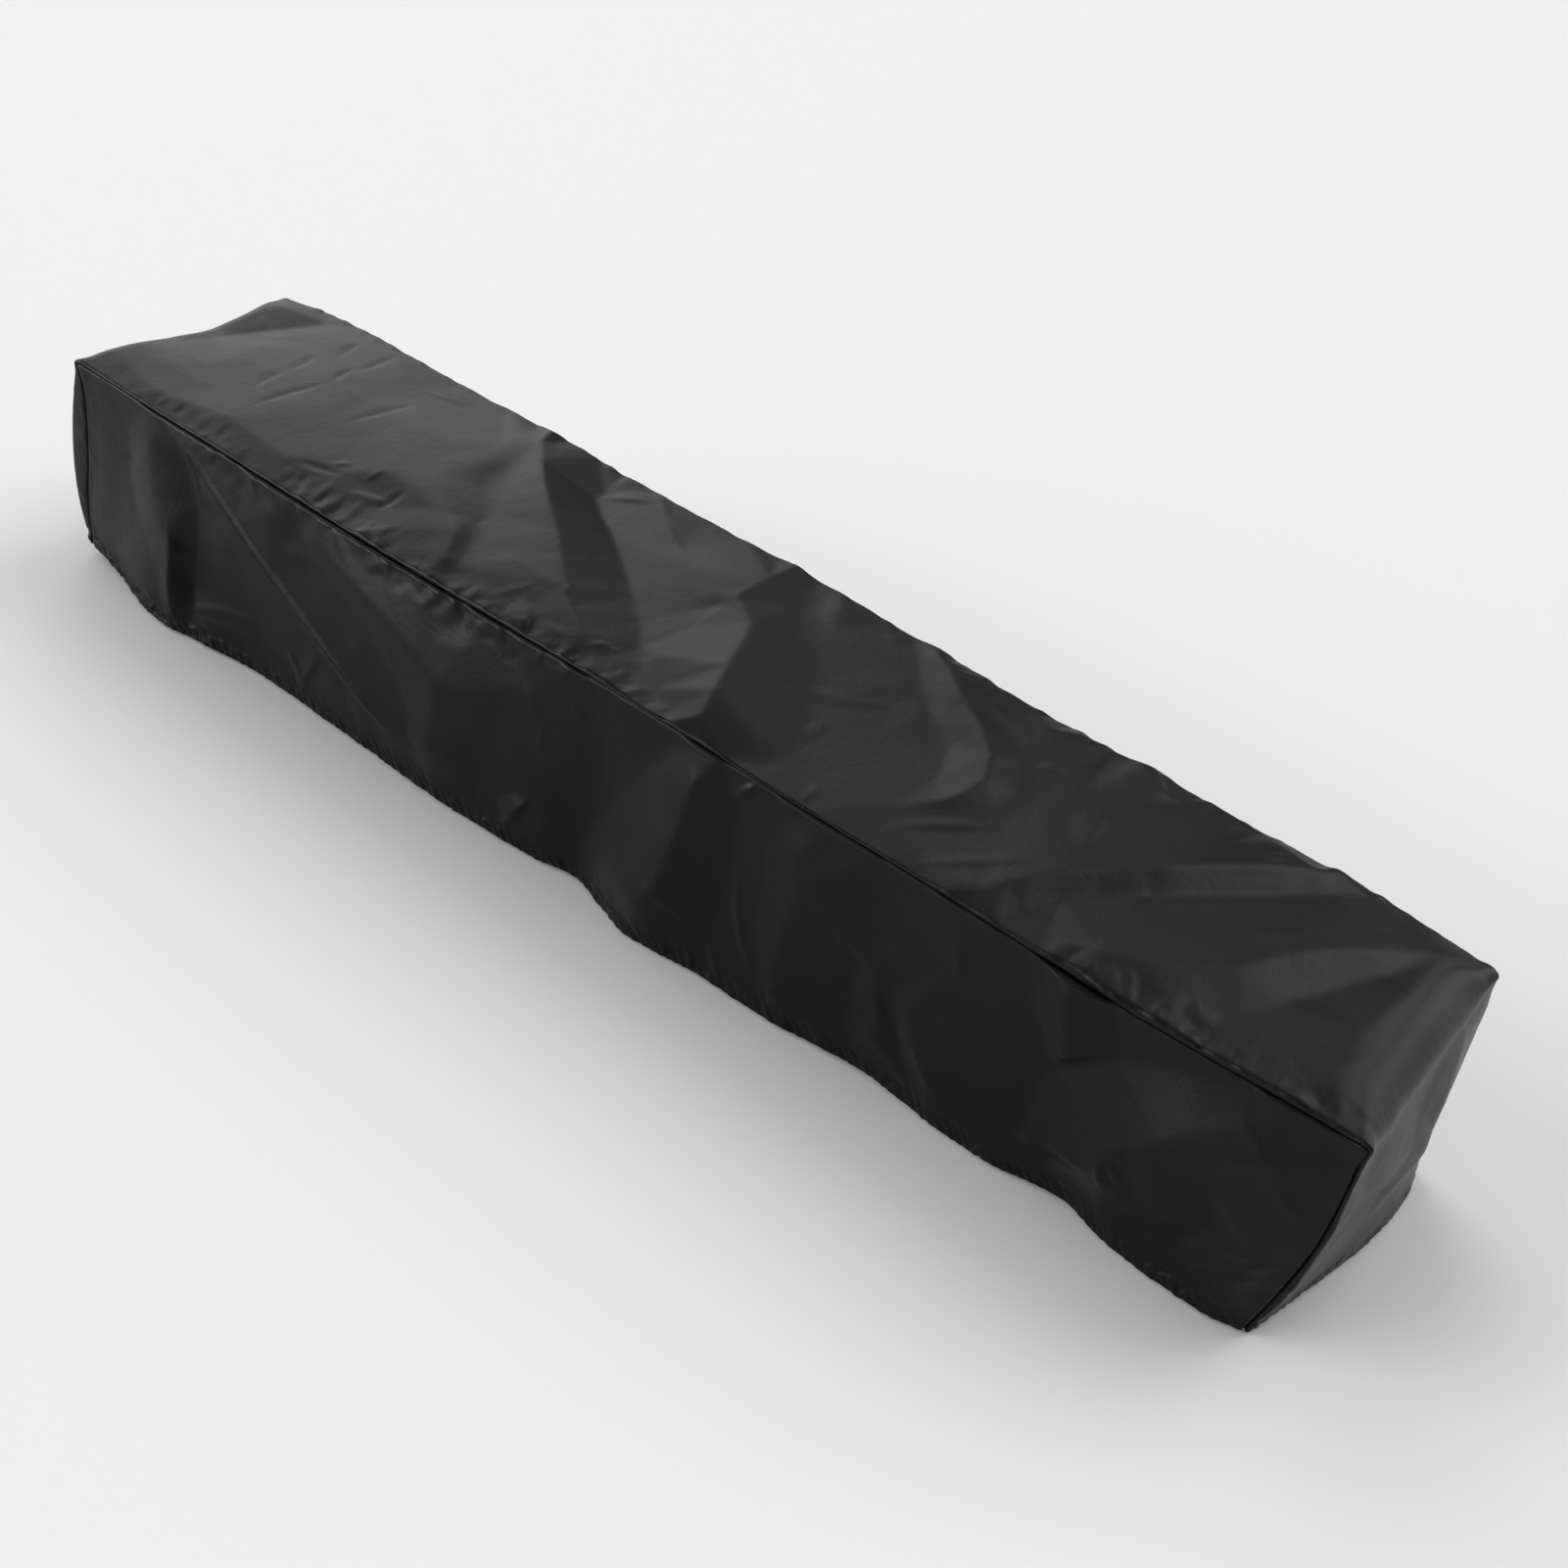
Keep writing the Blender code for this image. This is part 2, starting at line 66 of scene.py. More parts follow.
SEAM_TURN = 0.006
END_TURN_LEFT = 0.012
END_TURN_RIGHT = 0.030
TURN_GROWTH = 0.22
EAR = 0.0035
EAR_REACH = 0.022
EAR_TURN = 0.8
EAR_WAY = (0.8, 0.35, 0.5)
SHOULDER = 0.003
CROWN = 0.004
SAG_REACH = 0.10
FLARE_POWER = 1.5
CORNER_HOLD = 0.03
TIP_FADE = 0.45
TIP_WIDTH = 0.35
TOE = 0.22
OPEN_GROWTH = 0.5
OPEN_START = 0.05
HEAD_HOLD = 0.02
MM = 0.001
FINE_CREST = 0.001
DOWN = np.array([0.0, 0.0, -1.0])

# Where the eye is, and the level and the wall on which the folds' places were read
EYE = (0.729, -1.126, 0.852)
READ_LEVEL = 0.006
READ_WALL = 0.128
READ_WALL_LEAN = 0.012
CARRY_ROUNDS = 3
SEAM_STEP = 20
SEAM_SOFT = 2.0
SEAM_MARGIN = 4.0

# How exactly the facets are joined and filled: tolerances, and the last place inside a raster
JOIN = 1e-4
TOUCH = 1e-3
NO_AREA = 1e-9
RIM = 1e-6
LAST_CELL = 1.001
BELL_REACH = 2.5
GRADE_SAMPLES = 2001


class Side(Enum):
    """One of the two short ends, by the direction in which it faces."""

    LEFT = -1
    RIGHT = 1


class Tips(Enum):
    """How a fold ends: both tips fade, or it opens like a fan from a point."""

    FADING = 0
    OPENING = 1


class Section(NamedTuple):
    """A cross section: the two seams, how far the cloth climbs from them, and the two hems."""

    x: float
    front_y: float
    front_z: float
    front_climb: float
    back_y: float
    back_z: float
    back_climb: float
    hem_front_y: float
    hem_front_z: float
    hem_back_y: float
    hem_back_z: float


SECTIONS = (
    Section(-0.680, -0.129, -0.004, 0.003, 0.112, 0.001, 0.003, -0.127, -0.200, 0.132, -0.206),
    Section(-0.620, -0.128, -0.005, 0.002, 0.129, 0.008, 0.005, -0.135, -0.206, 0.138, -0.207),
    Section(-0.555, -0.128, -0.006, 0.002, 0.130, 0.011, 0.005, -0.151, -0.210, 0.144, -0.208),
    Section(-0.490, -0.128, -0.006, 0.002, 0.130, 0.011, 0.005, -0.152, -0.210, 0.146, -0.208),
    Section(-0.420, -0.128, -0.007, 0.002, 0.130, 0.010, 0.005, -0.141, -0.210, 0.141, -0.207),
    Section(-0.340, -0.128, -0.008, 0.002, 0.130, 0.012, 0.005, -0.139, -0.210, 0.136, -0.206),
    Section(-0.220, -0.128, -0.008, 0.002, 0.130, 0.011, 0.005, -0.141, -0.210, 0.139, -0.207),
    Section(-0.120, -0.127, -0.007, 0.002, 0.130, 0.010, 0.005, -0.143, -0.210, 0.146, -0.208),
    Section(-0.045, -0.128, -0.005, 0.002, 0.130, 0.011, 0.005, -0.137, -0.210, 0.144, -0.207),
    Section(0.000, -0.128, -0.005, 0.001, 0.130, 0.011, 0.005, -0.131, -0.209, 0.139, -0.206),
    Section(0.045, -0.128, -0.005, 0.001, 0.130, 0.010, 0.005, -0.142, -0.211, 0.136, -0.206),
    Section(0.080, -0.128, -0.005, 0.001, 0.130, 0.009, 0.005, -0.148, -0.211, 0.136, -0.206),
    Section(0.140, -0.128, -0.006, 0.001, 0.130, 0.007, 0.005, -0.144, -0.210, 0.140, -0.207),
    Section(0.220, -0.127, -0.007, 0.001, 0.130, 0.004, 0.005, -0.142, -0.210, 0.146, -0.208),
    Section(0.315, -0.127, -0.007, 0.002, 0.130, 0.003, 0.005, -0.132, -0.208, 0.142, -0.207),
    Section(0.375, -0.128, -0.007, 0.003, 0.130, 0.005, 0.005, -0.135, -0.210, 0.137, -0.206),
    Section(0.440, -0.128, -0.008, 0.006, 0.130, 0.004, 0.005, -0.137, -0.210, 0.138, -0.206),
    Section(0.505, -0.128, -0.009, 0.007, 0.130, 0.004, 0.005, -0.127, -0.208, 0.144, -0.207),
    Section(0.560, -0.128, -0.007, 0.006, 0.130, 0.005, 0.005, -0.139, -0.211, 0.142, -0.207),
    Section(0.620, -0.128, -0.004, 0.005, 0.130, 0.002, 0.005, -0.141, -0.210, 0.137, -0.206),
    Section(0.680, -0.128, -0.002, 0.004, 0.128, -0.003, 0.004, -0.133, -0.210, 0.132, -0.204),
)


class Upright(NamedTuple):
    """The four upright seams at a share of the drop: how far out, and how far the cloth wraps."""

    drop: float
    left_front: float
    left_back: float
    right_front: float
    right_back: float
    left_front_wrap: float
    left_back_wrap: float
    right_front_wrap: float
    right_back_wrap: float


UPRIGHTS = (
    Upright(0.00, -0.004, 0.002, 0.000, 0.005, 0.006, 0.003, 0.003, 0.003),
    Upright(0.15, -0.010, 0.003, 0.002, 0.009, 0.018, 0.004, 0.003, 0.004),
    Upright(0.45, -0.011, 0.005, 0.003, 0.011, 0.024, 0.005, 0.004, 0.005),
    Upright(0.75, -0.007, 0.007, -0.004, 0.010, 0.015, 0.005, 0.005, 0.005),
    Upright(1.00, -0.012, 0.008, -0.013, 0.022, 0.005, 0.004, 0.003, 0.003),
)


class EndEdge(NamedTuple):
    """The two short top edges at a share of the depth: their sag, the flare at the hem, and
    how far the left one is drawn in."""

    across: float
    left_sag: float
    right_sag: float
    left_flare: float
    right_flare: float
    left_pull: float


END_EDGES = (
    EndEdge(0.00, 0.000, 0.000, 0.000, 0.000, 0.000),
    EndEdge(0.20, 0.004, 0.001, 0.006, 0.006, 0.004),
    EndEdge(0.40, -0.001, 0.000, 0.009, 0.013, 0.012),
    EndEdge(0.55, -0.004, 0.001, 0.008, 0.018, 0.018),
    EndEdge(0.72, -0.005, 0.002, 0.006, 0.018, 0.019),
    EndEdge(0.88, -0.003, 0.003, 0.003, 0.011, 0.016),
    EndEdge(1.00, 0.000, 0.000, 0.000, 0.000, 0.016),
)


class Fold(NamedTuple):
    """A fold or crease from one point of a panel to another: x and y on the top, x and z on a
    long wall, y and z on an end. Its slopes reach out by left and right, seen from its start
    with the panel's second axis up; bend bows its line to the left."""

    from_x: float
    from_y: float
    to_x: float
    to_y: float
    left: float
    right: float
    height: float
    tips: Tips = Tips.FADING
    crest: float = 0.004
    bend: float = 0.0


FADING = Tips.FADING
OPENING = Tips.OPENING


class Knot(NamedTuple):
    """A knot of a crease, in millimetres: its place on the panel, and how far out it stands."""

    x: float
    y: float
    out: float


class Crease(NamedTuple):
    """An edge between two facets of the cloth: how soft it is, in millimetres, and its knots."""

    soft: float
    knots: tuple[Knot, ...]


def crease(soft: float, *knots: tuple[float, float, float]) -> Crease:
    """A crease of the given softness through knots that are given as x, y and out."""
    return Crease(soft, tuple(Knot(*knot) for knot in knots))


class Sight(NamedTuple):
    """The eye from a panel, in metres: its place along and across it, and how far off it is.

    The folds' places were read level with the panel. What stands out from that level hides a
    place farther away, so each is carried towards the eye by as much as it stands out."""

    along: float
    across: float
    off: float

    def carried(self, x: float, y: float, out: float) -> tuple[float, float]:
        """The true place of what is seen at x and y and stands out by so much."""
        share = out / self.off
        return x + (self.along - x) * share, y + (self.across - y) * share


# Crests and troughs of the top, x and y in millimetres as seen level with it
TOP_NET = (
    crease(8, (-700, -150, 0), (-700, 0, 0), (-700, 160, 0)),
    crease(3, (-652, -30, 2), (-638, 16, 1), (-619, 75, 0), (-607, 121, 0), (-602, 155, 0)),
    crease(8, (-690, 30, 8), (-680, 75, 13), (-674, 112, 13)),
    crease(2, (-672, -98, 2), (-638, -102, 3), (-607, -109, 4), (-582, -113, 5), (-563, -109, 5),
           (-526, -99, 6), (-504, -91, 7), (-492, -99, 6), (-476, -95, 7), (-420, -99, 7),
           (-370, -80, 7), (-322, -72, 6)),
    crease(10, (-600, -40, 4), (-565, 40, 4), (-560, 120, 3)),
    crease(12, (-480, -50, 8), (-470, 40, 8), (-490, 110, 5)),
    crease(3, (-352, -42, 11), (-310, -40, 12), (-268, -50, 11), (-237, -66, 12), (-215, -99, 9),
           (-198, -139, 2)),
    crease(4, (-243, -38, 8), (-212, -70, 6), (-192, -106, 5)),
    crease(3, (-322, -72, 6), (-300, -84, 5), (-270, -100, 6), (-238, -120, 4)),
    crease(9, (-318, 112, 10), (-312, 60, 11), (-312, 0, 12), (-310, -40, 12)),
    crease(8, (-294, 72, 8), (-277, 31, 7), (-241, -16, 7), (-243, -38, 8)),
    crease(1.4, (-318, 150, 9), (-308, 122, 12), (-285, 98, 14), (-262, 75, 16), (-215, 34, 17),
           (-184, 9, 16), (-153, -19, 15), (-122, -50, 14), (-91, -77, 11), (-59, -97, 8),
           (-28, -119, 3)),
    crease(2.5, (-213, 150, -3), (-206, 103, -4), (-203, 84, -4), (-178, 65, -4), (-147, 46, -3),
           (-122, 28, -3), (-91, 3, -3), (-69, -16, -3), (-41, -41, -3), (-13, -72, -2),
           (6, -91, -1), (34, -112, -1), (60, -125, 0)),
    crease(9, (-150, 120, 3), (-105, 62, 3), (-62, 25, 2)),
    crease(1.4, (-11, 150, 5), (-14, 110, 9), (-14, 84, 9), (-11, 55, 8), (-9, 40, 6),
           (-5, -6, 4), (3, -72, 2), (6, -91, -1)),
    crease(3, (-16, 25, 3), (-28, -5, 1), (-41, -41, -3)),
    crease(1.6, (-2, 66, 6), (22, 34, 9), (34, 9, 12), (50, -35, 15), (65, -72, 15),
           (81, -109, 10), (88, -130, 3)),
    crease(12, (30, 150, -1), (36, 112, -1), (52, 80, 0), (80, 44, 0), (112, 0, 0),
           (140, -50, 0), (160, -100, 0)),
    crease(6, (46, 150, 3), (56, 118, 4), (78, 84, 2)),
    crease(2, (135, 140, 2), (146, 118, 2), (178, 78, 1), (212, 44, 1), (243, 18, 1),
           (257, -18, 2), (256, -60, 3), (248, -88, 3)),
    crease(2, (152, 150, 5), (165, 130, 8), (203, 98, 10), (243, 70, 10), (270, 42, 10),
           (285, 8, 10), (282, -26, 8), (272, -52, 5), (258, -80, 3)),
    crease(8, (205, 138, 4), (238, 105, 5), (292, 58, 4), (315, 15, 3), (316, -20, 3),
           (288, -62, 3), (250, -105, 2)),
    crease(6, (300, -110, 3), (338, -50, 5), (350, 0, 5), (346, 60, 4)),
    crease(2.5, (340, -150, 3), (354, -115, 6), (364, -91, 8), (375, -71, 9), (385, -51, 9),
           (398, -30, 9), (413, -9, 9), (429, 12, 10), (446, 32, 11), (463, 52, 11), (480, 72, 11),
           (497, 92, 11), (514, 109, 10), (532, 124, 8), (544, 150, 6)),
    crease(3, (380, -140, 2), (390, -111, 1), (404, -75, 1), (420, -51, 1), (438, -29, 2),
           (457, -8, 2), (476, 14, 2), (495, 36, 2), (514, 58, 2), (534, 82, 2),
           (555, 106, 3), (574, 127, 3), (584, 150, 3)),
    crease(4, (394, 24, 5), (430, 60, 7), (462, 92, 8), (496, 130, 7)),
    crease(4, (440, -140, 3), (460, -107, 6), (484, -83, 8), (512, -63, 8), (536, -39, 8),
           (548, -15, 8), (560, 9, 8), (576, 33, 8), (596, 57, 8), (620, 81, 7), (645, 105, 5)),
    crease(5, (520, -128, 2), (556, -83, 1), (576, -51, 1), (592, -19, 0), (604, 9, 0),
           (612, 29, 1), (628, 57, 3), (641, 90, 5)),
    crease(5, (600, -122, 2), (646, -91, 5), (640, -59, 6), (634, -27, 7), (640, 5, 7),
           (644, 37, 7), (645, 73, 7), (650, 109, 5)),
    crease(8, (674, -90, 2), (680, 5, 2), (678, 85, 2)),
    crease(2.5, (356, 150, 3), (368, 140, 8), (388, 112, 8), (402, 96, 6)),
    crease(2.5, (262, 101, 6), (284, 115, 8), (304, 128, 6)),
    crease(3, (402, 96, 6), (420, 118, 5), (432, 150, 3)),
    crease(8, (700, -150, 0), (700, 0, 0), (700, 160, 0)),
)
# Crests and troughs of the front wall, x and z in millimetres as seen level with it
FRONT_NET = (
    crease(8, (-700, -20, 0), (-700, -120, 0), (-700, -250, 0)),
    crease(12, (-640, -60, 1), (-636, -110, 2), (-622, -190, 2), (-620, -250, 2)),
    crease(4, (-604, -40, 0), (-600, -80, 0), (-587, -123, 1), (-570, -150, 3), (-557, -177, 6),
           (-552, -250, 8)),
    crease(6, (-576, -6, 1), (-575, -40, 5), (-564, -90, 7), (-548, -125, 8)),
    crease(1.8, (-548, -125, 8), (-542, -150, 10), (-543, -180, 12), (-543, -250, 12)),
    crease(4, (-530, -24, -1), (-513, -43, -6), (-500, -73, -7), (-497, -123, -7),
           (-500, -157, -8), (-498, -190, -7), (-500, -250, -5)),
    crease(2, (-560, -4, 1), (-527, -22, 3), (-500, -40, 5), (-450, -69, 7), (-400, -97, 9),
           (-355, -121, 10), (-307, -147, 11), (-260, -167, 11), (-217, -187, 10),
           (-180, -212, 9), (-160, -250, 9)),
    crease(6, (-470, -110, 0), (-420, -150, 1), (-372, -185, 2), (-340, -250, 3)),
    crease(5, (-400, -14, 3), (-410, -42, 8), (-402, -70, 9)),
    crease(3, (-372, -12, 2), (-366, -40, 3), (-347, -61, 5), (-307, -78, 7), (-267, -98, 9),
           (-233, -123, 10), (-213, -147, 11), (-207, -177, 10)),
    crease(4, (-358, -22, 4), (-347, -36, 8), (-303, -56, 13), (-257, -72, 16), (-217, -87, 18),
           (-187, -104, 19), (-184, -140, 18), (-182, -190, 13), (-180, -250, 10)),
    crease(3, (-208, -12, 2), (-203, -28, 6), (-196, -62, 12), (-187, -104, 19)),
    crease(4, (-160, -20, 2), (-156, -50, 10), (-152, -95, 16), (-128, -132, 12), (-118, -182, 3),
           (-116, -250, 5)),
    crease(9, (-88, -60, 8), (-60, -120, 7), (-40, -180, 5), (-30, -250, 5)),
    crease(4, (76, -16, 0), (48, -64, 0), (24, -110, -1), (8, -160, -2), (8, -196, -1),
           (0, -250, 0)),
    crease(1.8, (93, -10, 2), (98, -46, 10), (91, -110, 15), (83, -160, 17), (66, -200, 17),
           (58, -250, 16)),
    crease(6, (146, -40, 0), (150, -96, -1), (152, -150, -1), (150, -250, 1)),
    crease(3, (173, -16, 0), (178, -58, 0), (184, -102, 0), (194, -150, 1)),
    crease(4, (192, -22, 3), (206, -50, 9), (216, -74, 11), (212, -120, 9), (214, -160, 6),
           (224, -250, 4)),
    crease(4, (284, -105, 2), (288, -140, 2), (294, -185, 2)),
    crease(2.5, (296, -100, 5), (303, -117, 8), (317, -147, 9), (314, -165, 8), (300, -188, 4)),
    crease(2, (322, -130, 2), (340, -155, 2), (362, -192, 2)),
    crease(2, (322, -112, 4), (336, -124, 8), (352, -152, 9), (378, -188, 7), (390, -250, 4)),
    crease(7, (362, -50, 5), (380, -110, 5), (400, -160, 3)),
    crease(3, (410, -12, 0), (427, -47, 0), (445, -68, -1), (460, -86, -3), (456, -117, -5),
           (458, -153, -4), (440, -200, 2)),
    crease(2, (431, -10, 3), (447, -30, 10), (458, -54, 11), (465, -80, 6)),
    crease(3, (460, -86, -3), (500, -50, -1), (537, -30, 0), (592, -10, 0)),
    crease(2, (458, -153, -4), (480, -160, 4), (500, -163, 12), (520, -156, 18)),
    crease(2, (520, -156, 18), (517, -140, 19), (533, -123, 19), (552, -100, 18), (567, -80, 15),
           (600, -48, 9), (622, -28, 5), (640, -12, 2)),
    crease(3, (567, -80, 15), (587, -84, 16), (628, -60, 12), (648, -42, 8), (660, -20, 4)),
    crease(2, (533, -123, 19), (547, -113, 19), (587, -84, 16)),
    crease(3, (452, -176, 0), (490, -180, 4), (532, -184, 8), (540, -250, 4)),
    crease(2.5, (587, -84, 16), (605, -103, 6), (614, -130, -3), (598, -160, -5), (567, -173, -3),
           (560, -250, 3)),
    crease(6, (655, -80, 7), (655, -140, 10), (640, -200, 10), (634, -250, 10)),
    crease(8, (700, -20, 0), (700, -120, 0), (700, -250, 0)),
)
BACK_FOLDS = (
    Fold(-0.480, 0.000, -0.500, -0.230, 0.070, 0.070, 0.007, OPENING),
    Fold(-0.120, 0.000, -0.060, -0.230, 0.070, 0.060, 0.008, OPENING),
    Fold(0.220, 0.000, 0.190, -0.230, 0.060, 0.070, 0.007, OPENING),
    Fold(0.520, 0.000, 0.560, -0.230, 0.060, 0.060, 0.006, OPENING),
)
LEFT_END_FOLDS = (
    Fold(-0.030, 0.000, 0.000, -0.230, 0.060, 0.060, 0.006, OPENING),
)
RIGHT_END_FOLDS = (
    Fold(-0.125, -0.005, 0.050, -0.120, 0.030, 0.040, 0.007),
    Fold(0.100, -0.005, -0.030, -0.150, 0.050, 0.050, 0.006),
)


def fine_folds(*rows: tuple[float, ...]) -> tuple[Fold, ...]:
    """Fine folds from rows of a fold's first seven numbers, then its bend and its crest."""
    made = []
    for row in rows:
        bend, crest = (*row[7:], *(0.0, FINE_CREST)[len(row) - 7:])
        made.append(Fold(*row[:7], crest=crest, bend=bend))
    return tuple(made)


# Fine creases, pressed into the cloth while it lay packed or pulled in by the seams
TOP_CREASES = fine_folds(
    (-0.541, 0.076, -0.558, 0.126, 0.011, 0.004, -0.0024, 0.002, 0.0006),
    (-0.547, 0.016, -0.563, 0.066, 0.012, 0.004, -0.0022, -0.003, 0.0006),
    (-0.536, -0.040, -0.551, 0.022, 0.013, 0.004, -0.0018, 0.002, 0.0006),
    (-0.511, 0.066, -0.517, 0.136, 0.009, 0.004, -0.0022, -0.003, 0.0006),
    (-0.505, 0.036, -0.518, 0.078, 0.008, 0.004, -0.0024, 0.003, 0.0006),
    (-0.510, -0.072, -0.506, 0.046, 0.009, 0.004, -0.0020, 0.002, 0.0006),
    (-0.438, -0.014, -0.427, 0.080, 0.011, 0.004, -0.0024, -0.002, 0.0006),
    (-0.505, 0.040, -0.445, 0.035, 0.006, 0.008, 0.0008),
    (-0.462, 0.094, -0.378, 0.119, 0.020, 0.006, 0.0024, 0.005),
    (-0.520, 0.128, -0.420, 0.128, 0.006, 0.008, -0.0012),
    (-0.665, -0.035, -0.580, -0.045, 0.007, 0.009, 0.0007),
    (-0.640, -0.060, -0.560, -0.075, 0.010, 0.008, 0.0006),
    (-0.660, 0.080, -0.630, 0.055, 0.006, 0.006, 0.0014),
    (-0.414, -0.098, -0.360, -0.078, 0.008, 0.004, -0.0038, 0.0, 0.0006),
    (-0.374, -0.056, -0.387, -0.076, 0.004, 0.007, 0.0022, 0.0, 0.0006),
    (-0.352, -0.040, -0.345, -0.072, 0.003, 0.006, 0.0022, 0.0, 0.0006),
    (-0.316, -0.048, -0.303, -0.100, 0.004, 0.009, -0.0036, 0.003, 0.0006),
    (-0.345, -0.098, -0.300, -0.078, 0.006, 0.012, 0.0034, 0.0, 0.0006),
    (-0.240, -0.018, -0.232, -0.045, 0.006, 0.006, -0.0010),
    (-0.188, -0.058, -0.110, -0.060, 0.007, 0.008, 0.0009),
    (-0.203, 0.086, -0.154, 0.134, 0.014, 0.008, 0.0036, 0.002, 0.0006),
    (-0.144, 0.108, -0.085, 0.072, 0.009, 0.006, 0.0016, 0.002, 0.0006),
    (-0.128, -0.094, -0.083, -0.138, 0.010, 0.018, 0.0080, -0.003, 0.0006),
    (-0.047, -0.103, -0.021, -0.084, 0.006, 0.004, 0.0040, -0.003, 0.0006),
    (-0.118, -0.048, -0.104, -0.062, 0.006, 0.004, 0.0024, 0.0, 0.0006),
    (-0.172, 0.136, -0.135, 0.112, 0.008, 0.008, 0.0016),
    (-0.040, 0.040, -0.010, 0.020, 0.008, 0.012, 0.0010),
    (0.104, -0.013, 0.172, 0.024, 0.012, 0.014, 0.0024, 0.0, 0.002),
    (0.148, 0.014, 0.182, 0.030, 0.006, 0.007, 0.0016),
    (0.152, -0.030, 0.158, -0.070, 0.008, 0.008, 0.0010, 0.0, 0.002),
    (0.176, 0.118, 0.214, 0.132, 0.007, 0.009, 0.0022),
    (0.302, 0.054, 0.326, 0.084, 0.009, 0.007, 0.0022, -0.003, 0.0006),
    (0.298, 0.078, 0.210, 0.128, 0.007, 0.012, 0.0022, 0.008, 0.0006),
    (0.262, -0.112, 0.338, -0.026, 0.009, 0.008, 0.0024, 0.003, 0.0006),
    (0.300, -0.136, 0.374, -0.044, 0.008, 0.007, 0.0022, 0.002, 0.0006),
    (0.386, -0.014, 0.368, 0.066, 0.022, 0.010, 0.0032, -0.002),
    (0.372, 0.138, 0.404, 0.104, 0.006, 0.012, 0.0040),
    (0.105, 0.112, 0.135, 0.134, 0.007, 0.010, 0.0024),
    (0.472, 0.048, 0.528, 0.105, 0.006, 0.006, -0.0010),
    (0.450, 0.105, 0.475, 0.130, 0.008, 0.010, 0.0018),
    (0.492, 0.100, 0.510, 0.124, 0.006, 0.008, 0.0018),
    (0.520, 0.000, 0.560, 0.046, 0.008, 0.006, 0.0010),
    (0.430, -0.118, 0.498, -0.074, 0.008, 0.010, 0.0016),
    (0.640, -0.096, 0.655, -0.128, 0.008, 0.008, 0.0018),
    (0.655, -0.088, 0.690, -0.096, 0.006, 0.008, 0.0022),
    (0.652, -0.100, 0.690, -0.108, 0.006, 0.008, 0.0016),
    (0.668, -0.010, 0.690, 0.020, 0.006, 0.006, 0.0014),
    (0.596, -0.092, 0.612, -0.112, 0.006, 0.008, 0.0016),
)
FRONT_CREASES = fine_folds(
    (-0.552, 0.000, -0.195, -0.203, 0.005, 0.007, 0.0034, -0.004, 0.0006),
    (-0.530, -0.022, -0.360, -0.126, 0.004, 0.004, -0.0012, -0.004, 0.0006),
    (-0.610, -0.070, -0.585, -0.067, 0.005, 0.006, -0.0014),
    (-0.352, -0.215, -0.318, -0.142, 0.016, 0.006, 0.0030, 0.006),
    (-0.545, -0.214, -0.372, -0.160, 0.006, 0.012, 0.0012, 0.010),
    (-0.520, -0.215, -0.390, -0.180, 0.006, 0.008, 0.0010, 0.006),
    (-0.374, -0.158, -0.345, -0.196, 0.008, 0.008, 0.0020, 0.004),
    (-0.300, -0.110, -0.262, -0.128, 0.006, 0.006, 0.0010),
    (-0.055, -0.150, -0.088, -0.202, 0.004, 0.020, 0.0080),
    (-0.090, -0.045, -0.058, -0.070, 0.006, 0.006, 0.0012),
    (-0.060, -0.070, -0.058, -0.100, 0.006, 0.006, 0.0010),
    (-0.040, -0.030, -0.010, -0.055, 0.006, 0.006, 0.0010),
    (-0.100, -0.118, -0.070, -0.122, 0.006, 0.006, 0.0010),
    (0.161, -0.085, 0.205, -0.184, 0.005, 0.007, 0.0026, -0.012),
    (0.136, -0.036, 0.162, -0.002, 0.005, 0.007, 0.0042),
    (0.058, -0.150, 0.150, -0.172, 0.007, 0.007, 0.0012),
    (0.146, -0.172, 0.172, -0.214, 0.006, 0.006, 0.0018),
    (0.128, -0.198, 0.142, -0.214, 0.005, 0.006, 0.0018),
    (0.224, -0.168, 0.216, -0.200, 0.010, 0.008, 0.0024),
    (0.262, -0.090, 0.268, -0.105, 0.006, 0.008, 0.0012),
    (0.354, -0.020, 0.372, -0.080, 0.006, 0.010, 0.0014),
    (0.360, -0.100, 0.380, -0.120, 0.010, 0.010, 0.0010),
    (0.450, -0.164, 0.515, -0.164, 0.005, 0.005, -0.0016),
    (0.518, -0.140, 0.532, -0.172, 0.006, 0.006, 0.0028),
    (0.526, -0.138, 0.544, -0.158, 0.006, 0.006, 0.0018),
    (0.585, -0.032, 0.640, -0.062, 0.006, 0.008, 0.0010),
    (0.630, -0.070, 0.676, -0.090, 0.006, 0.008, 0.0012),
    (0.620, -0.160, 0.676, -0.130, 0.008, 0.010, 0.0018),
    (0.600, -0.190, 0.665, -0.150, 0.008, 0.010, 0.0016),
    (0.560, -0.172, 0.610, -0.162, 0.010, 0.010, 0.0014),
)
